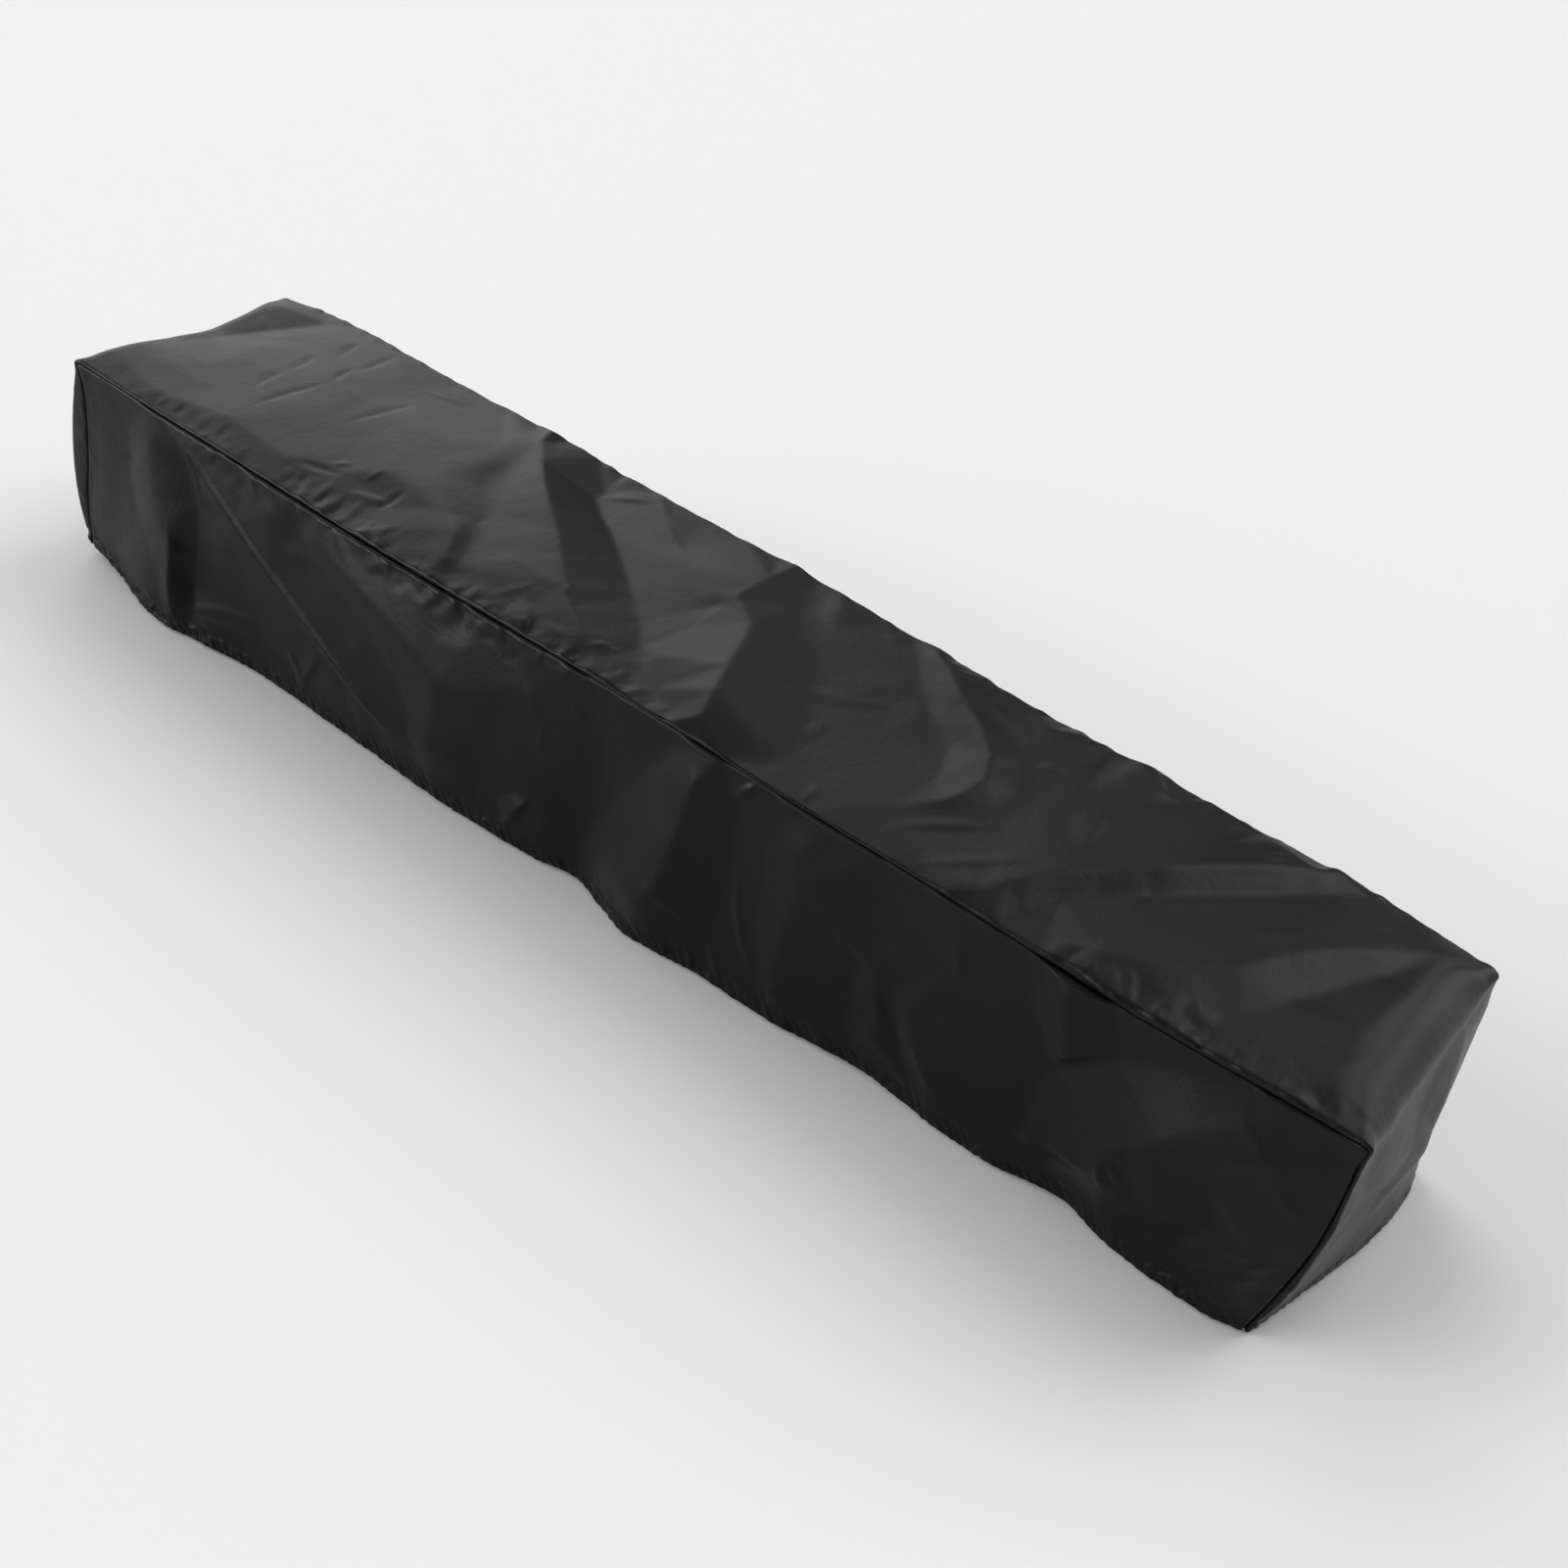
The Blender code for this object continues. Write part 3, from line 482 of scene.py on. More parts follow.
# Small pleats that run out of the front seam: on the top and on the front wall
TOP_PLEATS = fine_folds(
    (-0.556, -0.136, -0.566, -0.108, 0.006, 0.006, 0.0016),
    (-0.528, -0.136, -0.548, -0.104, 0.006, 0.006, -0.0020),
    (-0.500, -0.136, -0.522, -0.098, 0.007, 0.007, 0.0020),
    (-0.470, -0.136, -0.498, -0.096, 0.006, 0.008, -0.0022),
    (-0.440, -0.136, -0.458, -0.112, 0.006, 0.006, 0.0014),
    (-0.384, -0.136, -0.404, -0.104, 0.007, 0.007, 0.0018),
    (-0.362, -0.136, -0.390, -0.098, 0.006, 0.007, -0.0026),
    (-0.343, -0.136, -0.362, -0.092, 0.006, 0.007, 0.0032),
    (-0.336, -0.138, -0.350, -0.110, 0.005, 0.006, -0.0028),
    (-0.316, -0.138, -0.336, -0.098, 0.006, 0.006, -0.0030),
    (-0.306, -0.138, -0.322, -0.090, 0.006, 0.008, 0.0030),
    (-0.270, -0.138, -0.288, -0.108, 0.006, 0.007, -0.0026),
    (-0.256, -0.138, -0.262, -0.112, 0.007, 0.008, 0.0018),
    (-0.206, -0.138, -0.222, -0.116, 0.006, 0.006, -0.0022),
    (-0.150, -0.138, -0.160, -0.110, 0.006, 0.006, 0.0020),
    (-0.146, -0.128, -0.132, -0.064, 0.006, 0.006, 0.0016),
    (-0.092, -0.136, -0.128, -0.098, 0.009, 0.008, -0.0040),
    (-0.082, -0.138, -0.106, -0.112, 0.006, 0.006, 0.0024),
    (-0.096, -0.120, -0.056, -0.106, 0.006, 0.008, 0.0020),
    (-0.036, -0.138, -0.048, -0.112, 0.006, 0.006, -0.0018),
    (-0.044, -0.112, -0.024, -0.092, 0.006, 0.006, 0.0018),
    (0.004, -0.138, 0.004, -0.104, 0.005, 0.006, 0.0026),
    (0.016, -0.138, 0.036, -0.108, 0.007, 0.008, 0.0020),
    (0.050, -0.132, 0.062, -0.118, 0.006, 0.006, 0.0014),
    (0.204, -0.138, 0.198, -0.100, 0.006, 0.006, 0.0014),
    (0.482, -0.138, 0.462, -0.110, 0.007, 0.008, 0.0020),
    (0.498, -0.138, 0.476, -0.098, 0.007, 0.008, 0.0026),
    (0.510, -0.130, 0.528, -0.098, 0.006, 0.008, 0.0018),
    (0.541, -0.122, 0.530, -0.092, 0.008, 0.010, 0.0030),
    (0.541, -0.122, 0.546, -0.090, 0.010, 0.008, 0.0024),
    (0.560, -0.138, 0.584, -0.104, 0.008, 0.008, 0.0018),
    (0.590, -0.138, 0.650, -0.122, 0.007, 0.008, 0.0018),
    (0.612, -0.136, 0.606, -0.106, 0.007, 0.008, 0.0018),
)
FRONT_PLEATS = fine_folds(
    (-0.520, 0.004, -0.506, -0.026, 0.006, 0.007, 0.0022),
    (-0.500, 0.004, -0.520, -0.016, 0.006, 0.007, -0.0016),
    (-0.430, 0.004, -0.468, -0.044, 0.008, 0.010, 0.0020),
    (-0.392, 0.004, -0.420, -0.020, 0.007, 0.008, 0.0016),
    (-0.352, 0.002, -0.378, -0.030, 0.008, 0.008, 0.0022),
    (-0.332, 0.000, -0.300, -0.048, 0.007, 0.008, 0.0020),
    (-0.312, 0.004, -0.330, -0.020, 0.006, 0.006, -0.0018),
    (-0.236, 0.000, -0.288, -0.036, 0.008, 0.010, 0.0036),
    (-0.214, 0.004, -0.240, -0.020, 0.006, 0.007, -0.0020),
    (-0.176, 0.002, -0.216, -0.040, 0.008, 0.010, 0.0036),
    (-0.156, 0.004, -0.172, -0.020, 0.005, 0.006, -0.0024),
    (-0.146, 0.002, -0.160, -0.036, 0.005, 0.006, 0.0022),
    (-0.128, 0.002, -0.112, -0.036, 0.006, 0.008, 0.0028),
    (-0.076, 0.002, -0.112, -0.034, 0.008, 0.010, 0.0026),
    (-0.020, 0.002, -0.060, -0.020, 0.007, 0.008, 0.0018),
    (0.030, 0.002, 0.000, -0.024, 0.007, 0.008, 0.0012),
    (0.340, 0.002, 0.330, -0.012, 0.006, 0.006, 0.0010),
    (0.474, 0.004, 0.466, -0.016, 0.006, 0.006, 0.0020),
    (0.548, 0.002, 0.588, -0.016, 0.006, 0.008, 0.0018),
)


def mix(a: Array, b: Array, share: Array) -> Array:
    """The value at a share of the way from a to b."""
    return a + (b - a) * share


def ease(share: Array) -> Array:
    """0 to 1 with level ends."""
    share = np.clip(share, 0.0, 1.0)
    return share * share * (3.0 - 2.0 * share)


def read(rows: Sequence[NamedTuple], place: Array, column: str) -> Array:
    """Read a table's column on a smooth curve through its rows.

    Args:
        rows: The table, whose first column rises.
        place: Where to read, along the first column.
        column: The name of the column.

    Returns:
        The column's values at those places.
    """
    keys = np.array([row[0] for row in rows])
    values = np.array([getattr(row, column) for row in rows])
    place = np.clip(place, keys[0], keys[-1])
    low = np.clip(np.searchsorted(keys, place, side="right") - 1, 0, len(keys) - 2)
    before = np.maximum(np.arange(len(keys)) - 1, 0)
    after = np.minimum(np.arange(len(keys)) + 1, len(keys) - 1)
    slopes = (values[after] - values[before]) / (keys[after] - keys[before])
    span = keys[low + 1] - keys[low]
    share = (place - keys[low]) / span
    square = share * share
    cube = square * share
    return ((2 * cube - 3 * square + 1) * values[low]
            + (cube - 2 * square + share) * span * slopes[low]
            + (3 * square - 2 * cube) * values[low + 1]
            + (cube - square) * span * slopes[low + 1])


def turned(run: Array, climb: Array) -> Array:
    """Length left for going across, out of a run of cloth that first climbs and then turns."""
    rounded = (run - climb + SHOULDER) ** 2 / (4 * SHOULDER)
    return np.where(run <= climb - SHOULDER, 0.0,
                    np.where(run >= climb + SHOULDER, run - climb, rounded))


def cross_section(share: Array, near: Array, far: Array, near_climb: Array,
                  far_climb: Array) -> tuple[Array, Array]:
    """Place across and lift above the seams, for a share of the cloth between two seams.

    Args:
        share: Share of the cloth's width, 0 at the near seam.
        near: Where the near seam is.
        far: Where the far seam is.
        near_climb: How far the cloth climbs from the near seam before it turns inwards.
        far_climb: The same at the far seam.

    Returns:
        The place across, and the lift above the seams.
    """
    width = (far - near) + near_climb + far_climb
    run = share * width
    rest = width - run
    start = turned(np.zeros_like(run), near_climb) * (1 - share)
    finish = turned(np.zeros_like(run), far_climb) * share
    from_near = turned(run, near_climb) - start
    from_far = turned(rest, far_climb) - finish
    across = mix(near + from_near, far - from_far, share)
    lift = mix(run - from_near, rest - from_far, share)
    return across, lift


def fold_height(fold: Fold, x: Array, y: Array) -> Array:
    """How far one fold lifts the cloth at each place on its panel."""
    along_x = fold.to_x - fold.from_x
    along_y = fold.to_y - fold.from_y
    length = math.hypot(along_x, along_y)
    out_x = x - fold.from_x
    out_y = y - fold.from_y
    share = (out_x * along_x + out_y * along_y) / length ** 2
    offset = (along_x * out_y - along_y * out_x) / length
    held = np.clip(share, 0.0, 1.0)
    offset = offset - 4 * fold.bend * held * (1 - held)
    reach = np.where(offset > 0, fold.left, fold.right)
    fade = ease(share / TIP_FADE) * ease((1.0 - share) / TIP_FADE)
    if fold.tips is Tips.OPENING:
        reach = reach * np.maximum(OPEN_START, held)
        fade = ease(share / OPEN_GROWTH)
    else:
        reach = reach * mix(TIP_WIDTH, 1.0, fade)
    distance = (np.hypot(offset, fold.crest) - fold.crest) / reach
    near = np.clip(1.0 - distance, 0.0, 1.0)
    rise = np.where(near < TOE, near ** 2 / (2 * TOE), near - TOE / 2) / (1 - TOE / 2)
    inside = (distance < 1.0) & (share > 0.0) & (share < 1.0)
    return np.where(inside, fold.height * rise * fade, 0.0)


def folded(folds: Sequence[Fold], x: Array, y: Array) -> Array:
    """How far all of a panel's folds lift the cloth at each place on it."""
    return sum(fold_height(fold, x, y) for fold in folds)


@dataclass(frozen=True)
class Net:
    """Flat facets of cloth between given creases, on an even raster with soft edges."""

    creases: tuple[Crease, ...]
    low: tuple[int, int]
    high: tuple[int, int]
    seams: tuple[int, ...]
    sight: Sight
    rest: Callable[[float, float], float]
    softness: tuple[float, ...] = (1.0, 3.0, 8.0, 20.0)

    def placed(self, knot: Knot) -> tuple[float, float]:
        """Where a knot truly is, in mm: carried to its height, and kept inside the seams."""
        seen = (knot.x * MM, knot.y * MM)
        x, y = seen
        for _ in range(CARRY_ROUNDS):
            x, y = self.sight.carried(*seen, self.rest(x, y) + knot.out * MM)
        for seam in self.seams:
            if seam == self.high[1]:
                y = min(y, (seam - SEAM_MARGIN) * MM)
            else:
                y = max(y, (seam + SEAM_MARGIN) * MM)
        return x / MM, y / MM

    def fold_placed(self, fold: Fold) -> Fold:
        """A fold with its two ends carried to the height of the facets under them."""
        ends = []
        for seen in ((fold.from_x, fold.from_y), (fold.to_x, fold.to_y)):
            x, y = seen
            for _ in range(CARRY_ROUNDS):
                out = self.rest(x, y) + float(self.at(np.array([x]), np.array([y]))[0])
                x, y = self.sight.carried(*seen, out)
            ends += [x, y]
        return fold._replace(from_x=ends[0], from_y=ends[1], to_x=ends[2], to_y=ends[3])

    def facets(self) -> tuple[Array, Array, Array]:
        """Fill the spaces between the creases with triangles.

        Returns:
            The places of the corners in mm, their heights and softness in mm, and the
            corners of each triangle.
        """
        places, values, edges = [], [], []
        for line in self.creases:
            for knot in line.knots:
                if knot is not line.knots[0]:
                    edges.append((len(places) - 1, len(places)))
                places.append(self.placed(knot))
                values.append((knot.out, line.soft))
        for seam in self.seams:
            for x in range(self.low[0], self.high[0] + 1, SEAM_STEP):
                places.append((x, seam))
                values.append((0.0, SEAM_SOFT))
        spots, _, triangles, sources, _, _ = delaunay_2d_cdt(
            [Vector(place) for place in places], edges, [], 0, JOIN, True)
        made = []
        for spot, source in zip(spots, sources):
            if source:
                made.append(np.mean([values[number] for number in source], axis=0))
                continue
            crossing = []
            for first, last in edges:
                start, end = np.array(places[first]), np.array(places[last])
                share = np.dot(np.array(spot) - start, end - start) / np.dot(end - start, end - start)
                miss = np.linalg.norm(start + share * (end - start) - np.array(spot))
                if miss < TOUCH and 0.0 <= share <= 1.0:
                    crossing.append(mix(np.array(values[first]), np.array(values[last]), share))
            made.append(np.mean(crossing, axis=0))
        return np.array([tuple(spot) for spot in spots]), np.array(made), np.array(triangles)

    def raster(self) -> Array:
        """Heights and softness in mm at every whole millimetre of the panel."""
        places, values, triangles = self.facets()
        width = self.high[0] - self.low[0] + 1
        depth = self.high[1] - self.low[1] + 1
        made = np.zeros((width, depth, 2))
        for triangle in triangles:
            corner = places[triangle] - np.array(self.low)
            first = np.clip(np.floor(corner.min(0)).astype(int), 0, [width - 1, depth - 1])
            last = np.clip(np.ceil(corner.max(0)).astype(int), 0, [width - 1, depth - 1])
            i, j = np.meshgrid(np.arange(first[0], last[0] + 1), np.arange(first[1], last[1] + 1),
                               indexing="ij")
            a, b, c = corner
            area = (b[0] - a[0]) * (c[1] - a[1]) - (c[0] - a[0]) * (b[1] - a[1])
            if abs(area) < NO_AREA:
                continue
            to_b = ((i - a[0]) * (c[1] - a[1]) - (c[0] - a[0]) * (j - a[1])) / area
            to_c = ((b[0] - a[0]) * (j - a[1]) - (i - a[0]) * (b[1] - a[1])) / area
            inside = (to_b >= -RIM) & (to_c >= -RIM) & (to_b + to_c <= 1 + RIM)
            height = (values[triangle[0]] * (1 - to_b - to_c)[..., None]
                      + values[triangle[1]] * to_b[..., None] + values[triangle[2]] * to_c[..., None])
            block = made[first[0]:last[0] + 1, first[1]:last[1] + 1]
            block[inside] = height[inside]
        return made

    @cache
    def levels(self) -> tuple[Array, Array]:
        """The raster of heights smoothed by each softness, and the raster of softness."""
        made = self.raster()
        heights = np.stack([blurred(made[..., 0], soft) for soft in self.softness], axis=-1)
        soft = np.maximum(blurred(made[..., 1], self.softness[1]), self.softness[0])
        return heights, soft

    def at(self, x: Array, y: Array) -> Array:
        """How far out the cloth stands at each place on the panel, all in metres."""
        heights, soft = self.levels()
        i = np.clip(x / MM - self.low[0], 0, heights.shape[0] - LAST_CELL)
        j = np.clip(y / MM - self.low[1], 0, heights.shape[1] - LAST_CELL)
        left, below = np.floor(i).astype(int), np.floor(j).astype(int)
        level = np.interp(np.log(soft), np.log(self.softness), np.arange(len(self.softness)))
        low = np.clip(np.floor(level).astype(int), 0, len(self.softness) - 2)
        rows, columns = np.indices(low.shape)
        chosen = mix(heights[rows, columns, low], heights[rows, columns, low + 1], level - low)
        over, up = i - left, j - below
        near = mix(chosen[left, below], chosen[left + 1, below], over)
        far = mix(chosen[left, below + 1], chosen[left + 1, below + 1], over)
        return mix(near, far, up) * MM


def blurred(raster: Array, radius: float) -> Array:
    """A raster smoothed along both of its axes by a bell of the given radius in cells."""
    reach = int(math.ceil(BELL_REACH * radius))
    steps = np.arange(-reach, reach + 1)
    bell = np.exp(-0.5 * (steps / radius) ** 2)
    bell /= bell.sum()
    for axis in (0, 1):
        pad = [(0, 0), (0, 0)]
        pad[axis] = (reach, reach)
        wide = np.pad(raster, pad, mode="edge")
        length = raster.shape[axis]
        raster = sum(share * np.take(wide, range(step, step + length), axis=axis)
                     for step, share in enumerate(bell))
    return raster


def end_edge_sag(x: Array, across: Array) -> Array:
    """Sag of the top near its two short edges."""
    left = read(END_EDGES, across, "left_sag") * ease(1 - (x + HALF_LENGTH) / SAG_REACH)
    right = read(END_EDGES, across, "right_sag") * ease(1 - (HALF_LENGTH - x) / SAG_REACH)
    return left + right


@dataclass(frozen=True)
class PanelFolds:
    """All folds of one panel: the facets, the fine creases on them, and the seam's pleats."""

    net: Net
    creases: tuple[Fold, ...]
    pleats: tuple[Fold, ...]
    crease_depth: float = 0.45
    pleat_depth: float = 0.35
    hem_share: float = 1.0
    hem_reach: float = 0.06
    net_start: float = 0.003
    crease_start: float = 0.010
    pleat_start: float = 0.004

    @cache
    def carried(self) -> tuple[list[Fold], list[Fold]]:
        """The fine creases and the pleats at their true places."""
        return ([self.net.fold_placed(fold) for fold in self.creases],
                [self.net.fold_placed(fold) for fold in self.pleats])

    def height(self, x: Array, y: Array, from_seam: Array, from_hem: Array) -> Array:
        """How far out all the folds stand at each place on the panel.

        Args:
            x: Place along the panel.
            y: Place across it.
            from_seam: Distance from its seam, where every fold ends.
            from_hem: Distance from its hem, towards which they become flatter.

        Returns:
            The height in metres.
        """
        creases, pleats = self.carried()
        main = self.net.at(x, y) * ease(from_seam / self.net_start)
        main = main * mix(self.hem_share, 1.0, ease(from_hem / self.hem_reach))
        fine = folded(creases, x, y) * ease(from_seam / self.crease_start) * self.crease_depth
        small = folded(pleats, x, y) * ease(from_seam / self.pleat_start) * self.pleat_depth
        return main + fine + small


def resting_top(x: float, y: float) -> float:
    """How far the top would stand above the level of reading without its folds."""
    front, back = read(SECTIONS, x, "front_y"), read(SECTIONS, x, "back_y")
    across = np.clip((y - front) / (back - front), 0.0, 1.0)
    low = read(SECTIONS, x, "front_z") + read(SECTIONS, x, "front_climb")
    high = read(SECTIONS, x, "back_z") + read(SECTIONS, x, "back_climb")
    z = mix(low, high, across) + CROWN * np.sin(np.pi * across) + end_edge_sag(x, across)
    return float(z) - READ_LEVEL


def resting_front(x: float, z: float) -> float:
    """How far the front wall would stand outside the wall of reading without its folds."""
    drop = min(max(-z / DROP, 0.0), 1.0)
    wall = mix(read(SECTIONS, x, "front_y"), read(SECTIONS, x, "hem_front_y"), drop)
    return -float(wall) - READ_WALL - READ_WALL_LEAN * drop


TOP_FOLDS = PanelFolds(
    Net(TOP_NET, (-740, -130), (740, 132), (-130, 132),
        Sight(EYE[0], EYE[1], EYE[2] - READ_LEVEL), resting_top), TOP_CREASES, TOP_PLEATS)
FRONT_FOLDS = PanelFolds(
    Net(FRONT_NET, (-740, -260), (740, 0), (0,),
        Sight(EYE[0], EYE[2], -EYE[1] - READ_WALL), resting_front), FRONT_CREASES, FRONT_PLEATS,
    crease_depth=0.75, hem_share=0.3)


def roundness(across: Array) -> Array:
    """0 at the two seams, 1 over most of the depth between them."""
    return ease(np.minimum(across, 1.0 - across) / TURN_GROWTH)


def end_radius(side: Side, across: Array) -> Array:
    """Radius of the turn over an end's top edge, which is tight at the seams."""
    turn = END_TURN_LEFT if side is Side.LEFT else END_TURN_RIGHT
    return mix(SEAM_TURN, turn, roundness(across))


def top_point(x: Array, across: Array) -> tuple[Array, Array]:
    """Where the strip lies on top.

    Args:
        x: Place along the cover.
        across: Share of the cloth between the front seam and the back one.

    Returns:
        The place across and the height.
    """
    y, lift = cross_section(across, read(SECTIONS, x, "front_y"), read(SECTIONS, x, "back_y"),
                            read(SECTIONS, x, "front_climb"), read(SECTIONS, x, "back_climb"))
    z = mix(read(SECTIONS, x, "front_z"), read(SECTIONS, x, "back_z"), across) + lift
    z = z + CROWN * np.sin(np.pi * across) + end_edge_sag(x, across)
    from_seam = np.minimum(across, 1.0 - across) * DEPTH
    return y, z + TOP_FOLDS.height(x, y, from_seam, DEPTH)


def wall_offset(side: Side, drop: Array, across: Array) -> Array:
    """How far an end's wall stands outside the nominal end, at a share of the drop."""
    name = side.name.lower()
    front = read(UPRIGHTS, drop, name + "_front")
    back = read(UPRIGHTS, drop, name + "_back")
    flare = read(END_EDGES, across, name + "_flare")
    out = mix(front, back, across) + flare * np.sin(0.5 * np.pi * drop) ** FLARE_POWER
    if side is Side.LEFT:
        out = out - read(END_EDGES, across, "left_pull") * (1 - drop) ** 2
    return out


def end_points(side: Side, turn: Array, drop: Array, across: Array) -> Array:
    """Points of the strip on an end.

    Args:
        side: Which end.
        turn: 0 to 1 round the top edge.
        drop: 0 to 1 down the wall below it.
        across: Share of the cloth between the front seam and the back one.

    Returns:
        The points, with their three coordinates in the last axis.
    """
    name = side.name.lower()
    head = wall_offset(side, np.zeros_like(drop), across)
    radius = end_radius(side, across)
    start_x = side.value * (HALF_LENGTH + head - radius)
    start_y, start_z = top_point(start_x, across)
    front_y = mix(read(SECTIONS, start_x, "front_y"), read(SECTIONS, start_x, "hem_front_y"), drop)
    back_y = mix(read(SECTIONS, start_x, "back_y"), read(SECTIONS, start_x, "hem_back_y"), drop)
    y, lift = cross_section(across, front_y, back_y,
                            read(UPRIGHTS, drop, name + "_front_wrap"),
                            read(UPRIGHTS, drop, name + "_back_wrap"))
    y = mix(start_y, y, ease(turn))
    angle = 0.5 * np.pi * turn
    hem = mix(read(SECTIONS, start_x, "hem_front_z"), read(SECTIONS, start_x, "hem_back_z"), across)
    edge_z = start_z - radius
    folds = LEFT_END_FOLDS if side is Side.LEFT else RIGHT_END_FOLDS
    out = wall_offset(side, drop, across) - head
    out = out + lift * ease(turn) + folded(folds, y, mix(edge_z, hem, drop)) * roundness(across)
    x = start_x + side.value * (radius * np.sin(angle) + out)
    z = mix(edge_z + radius * np.cos(angle), hem, drop)
    return np.stack(np.broadcast_arrays(x, y, z), axis=-1)


def ear(side: Array, turn: Array, drop: Array, across: Array) -> Array:
    """How far a sewn corner's point is pushed out, which it stands up in."""
    from_seam = np.minimum(across, 1.0 - across) * DEPTH / EAR_REACH
    from_corner = np.abs(turn - 0.5) * EAR_TURN + drop * DROP / EAR_REACH
    amount = EAR * ease(1.0 - from_seam) * ease(1.0 - from_corner)
    outward = np.where(across < 0.5, -1.0, 1.0)
    way = np.broadcast_arrays(side * EAR_WAY[0], outward * EAR_WAY[1], EAR_WAY[2])
    return amount[..., None] * np.stack(way, axis=-1)


def graded(length: float, fine: float, coarse: float, first: float, last: float) -> Array:
    """Shares of a length whose steps are fine near one or both of its ends.

    Args:
        length: The whole length, in metres.
        fine: The step at a graded end.
        coarse: The step elsewhere.
        first: How far the fine steps reach from the start.
        last: How far they reach from the end.

    Returns:
        Rising shares from 0 to 1.
    """
    even = np.linspace(0.0, 1.0, GRADE_SAMPLES)
    from_start = ease(even * length / first) if first else np.ones_like(even)
    from_end = ease((1 - even) * length / last) if last else np.ones_like(even)
    density = 1.0 / mix(fine, coarse, np.minimum(from_start, from_end))
    run = np.concatenate([[0.0], np.cumsum((density[1:] + density[:-1]) / 2)])
    steps = int(round(run[-1] * length / (len(even) - 1)))
    return np.interp(np.linspace(0.0, run[-1], steps + 1), run, even)


def normals_of(grid: Array, outward: float) -> Array:
    """Unit normals of a grid of points, facing out of the cover."""
    along = np.gradient(grid, axis=0)
    over = np.gradient(grid, axis=1)
    normal = np.cross(along, over) * outward
    return normal / np.maximum(np.linalg.norm(normal, axis=-1, keepdims=True), 1e-12)


class Bow(NamedTuple):
    """A slow wave that bends the creases, for a facet one wide: its height and its rate."""

    height: float
    rate: float


BOWS = (Bow(0.35, 1.7), Bow(0.25, 2.3), Bow(0.30, 1.3), Bow(0.25, 2.9))
FACET_TABLE = 128


def facets(x: Array, y: Array, size: float, seed: int, angle: float) -> Array:
    """Seeded relief of flat facets that meet in creases, between -1 and 1.

    Args:
        x: Place along the cloth, in metres.
        y: Place across it.
        size: How wide a facet is.
        seed: Seed of the heights.
        angle: Direction of the creases.

    Returns:
        The relief at each place.
    """
    table = np.random.default_rng(seed).uniform(-1.0, 1.0, (FACET_TABLE, FACET_TABLE))

    def wave(bow: Bow, place: Array, shift: float = 0.0) -> Array:
        """How far a slow wave moves the creases at each place."""
        return bow.height * size * np.sin(place / size * bow.rate + shift)

    x, y = (x + (wave(BOWS[0], x, seed) + wave(BOWS[1], y)),
            y + (wave(BOWS[2], y, -seed) + wave(BOWS[3], x)))
    u = (x * math.cos(angle) - y * math.sin(angle)) / size
    v = (x * math.sin(angle) + y * math.cos(angle)) / size
    u, v = u + v / math.sqrt(3.0), 2.0 * v / math.sqrt(3.0)
    i, j = np.floor(u).astype(int), np.floor(v).astype(int)
    fu, fv = u - i, v - j

    def height(di: int, dj: int) -> Array:
        """The height at a corner of the cell."""
        return table[(i + di) % FACET_TABLE, (j + dj) % FACET_TABLE]

    below = height(0, 0) * (1 - fu) + height(1, 0) * (fu - fv) + height(1, 1) * fv
    above = height(0, 0) * (1 - fv) + height(0, 1) * (fv - fu) + height(1, 1) * fu
    return np.where(fu > fv, below, above)


class Puckers(NamedTuple):
    """A stretch of a seam whose stitches pull the cloth into small bumps, seen from the side."""

    start: float
    end: float
    spacing: float
    length: float
    height: float


TOP_PUCKERS = (
    Puckers(-0.665, -0.590, 0.016, 0.014, 0.0008),
    Puckers(-0.590, -0.460, 0.012, 0.026, 0.0013),
    Puckers(-0.460, -0.385, 0.018, 0.020, 0.0009),
    Puckers(-0.385, -0.170, 0.013, 0.038, 0.0018),
    Puckers(-0.170, -0.120, 0.020, 0.020, 0.0010),
    Puckers(-0.120, 0.020, 0.011, 0.030, 0.0016),
    Puckers(0.020, 0.180, 0.019, 0.014, 0.0008),
    Puckers(0.180, 0.450, 0.026, 0.010, 0.0006),
    Puckers(0.450, 0.640, 0.014, 0.030, 0.0016),
    Puckers(0.640, 0.690, 0.016, 0.016, 0.0010),
)
FRONT_PUCKERS = (
    Puckers(-0.640, -0.540, 0.018, 0.018, 0.0008),
    Puckers(-0.540, -0.420, 0.014, 0.024, 0.0013),
    Puckers(-0.420, -0.280, 0.016, 0.022, 0.0013),
    Puckers(-0.280, -0.020, 0.017, 0.036, 0.0020),
    Puckers(-0.020, 0.160, 0.022, 0.012, 0.0007),
    Puckers(0.160, 0.450, 0.028, 0.010, 0.0005),
    Puckers(0.450, 0.660, 0.018, 0.018, 0.0011),
)
BACK_PUCKERS = (
    Puckers(-0.660, -0.200, 0.017, 0.024, 0.0012),
    Puckers(-0.200, 0.250, 0.020, 0.020, 0.0010),
    Puckers(0.250, 0.670, 0.016, 0.026, 0.0014),
)
UPRIGHT_PUCKERS = (
    Puckers(-0.200, 0.000, 0.019, 0.018, 0.0009),
)


class Crumple(NamedTuple):
    """A stretch of a seam beside which the cloth is crushed into small facets."""

    start: float
    end: float
    reach: float
    height: float


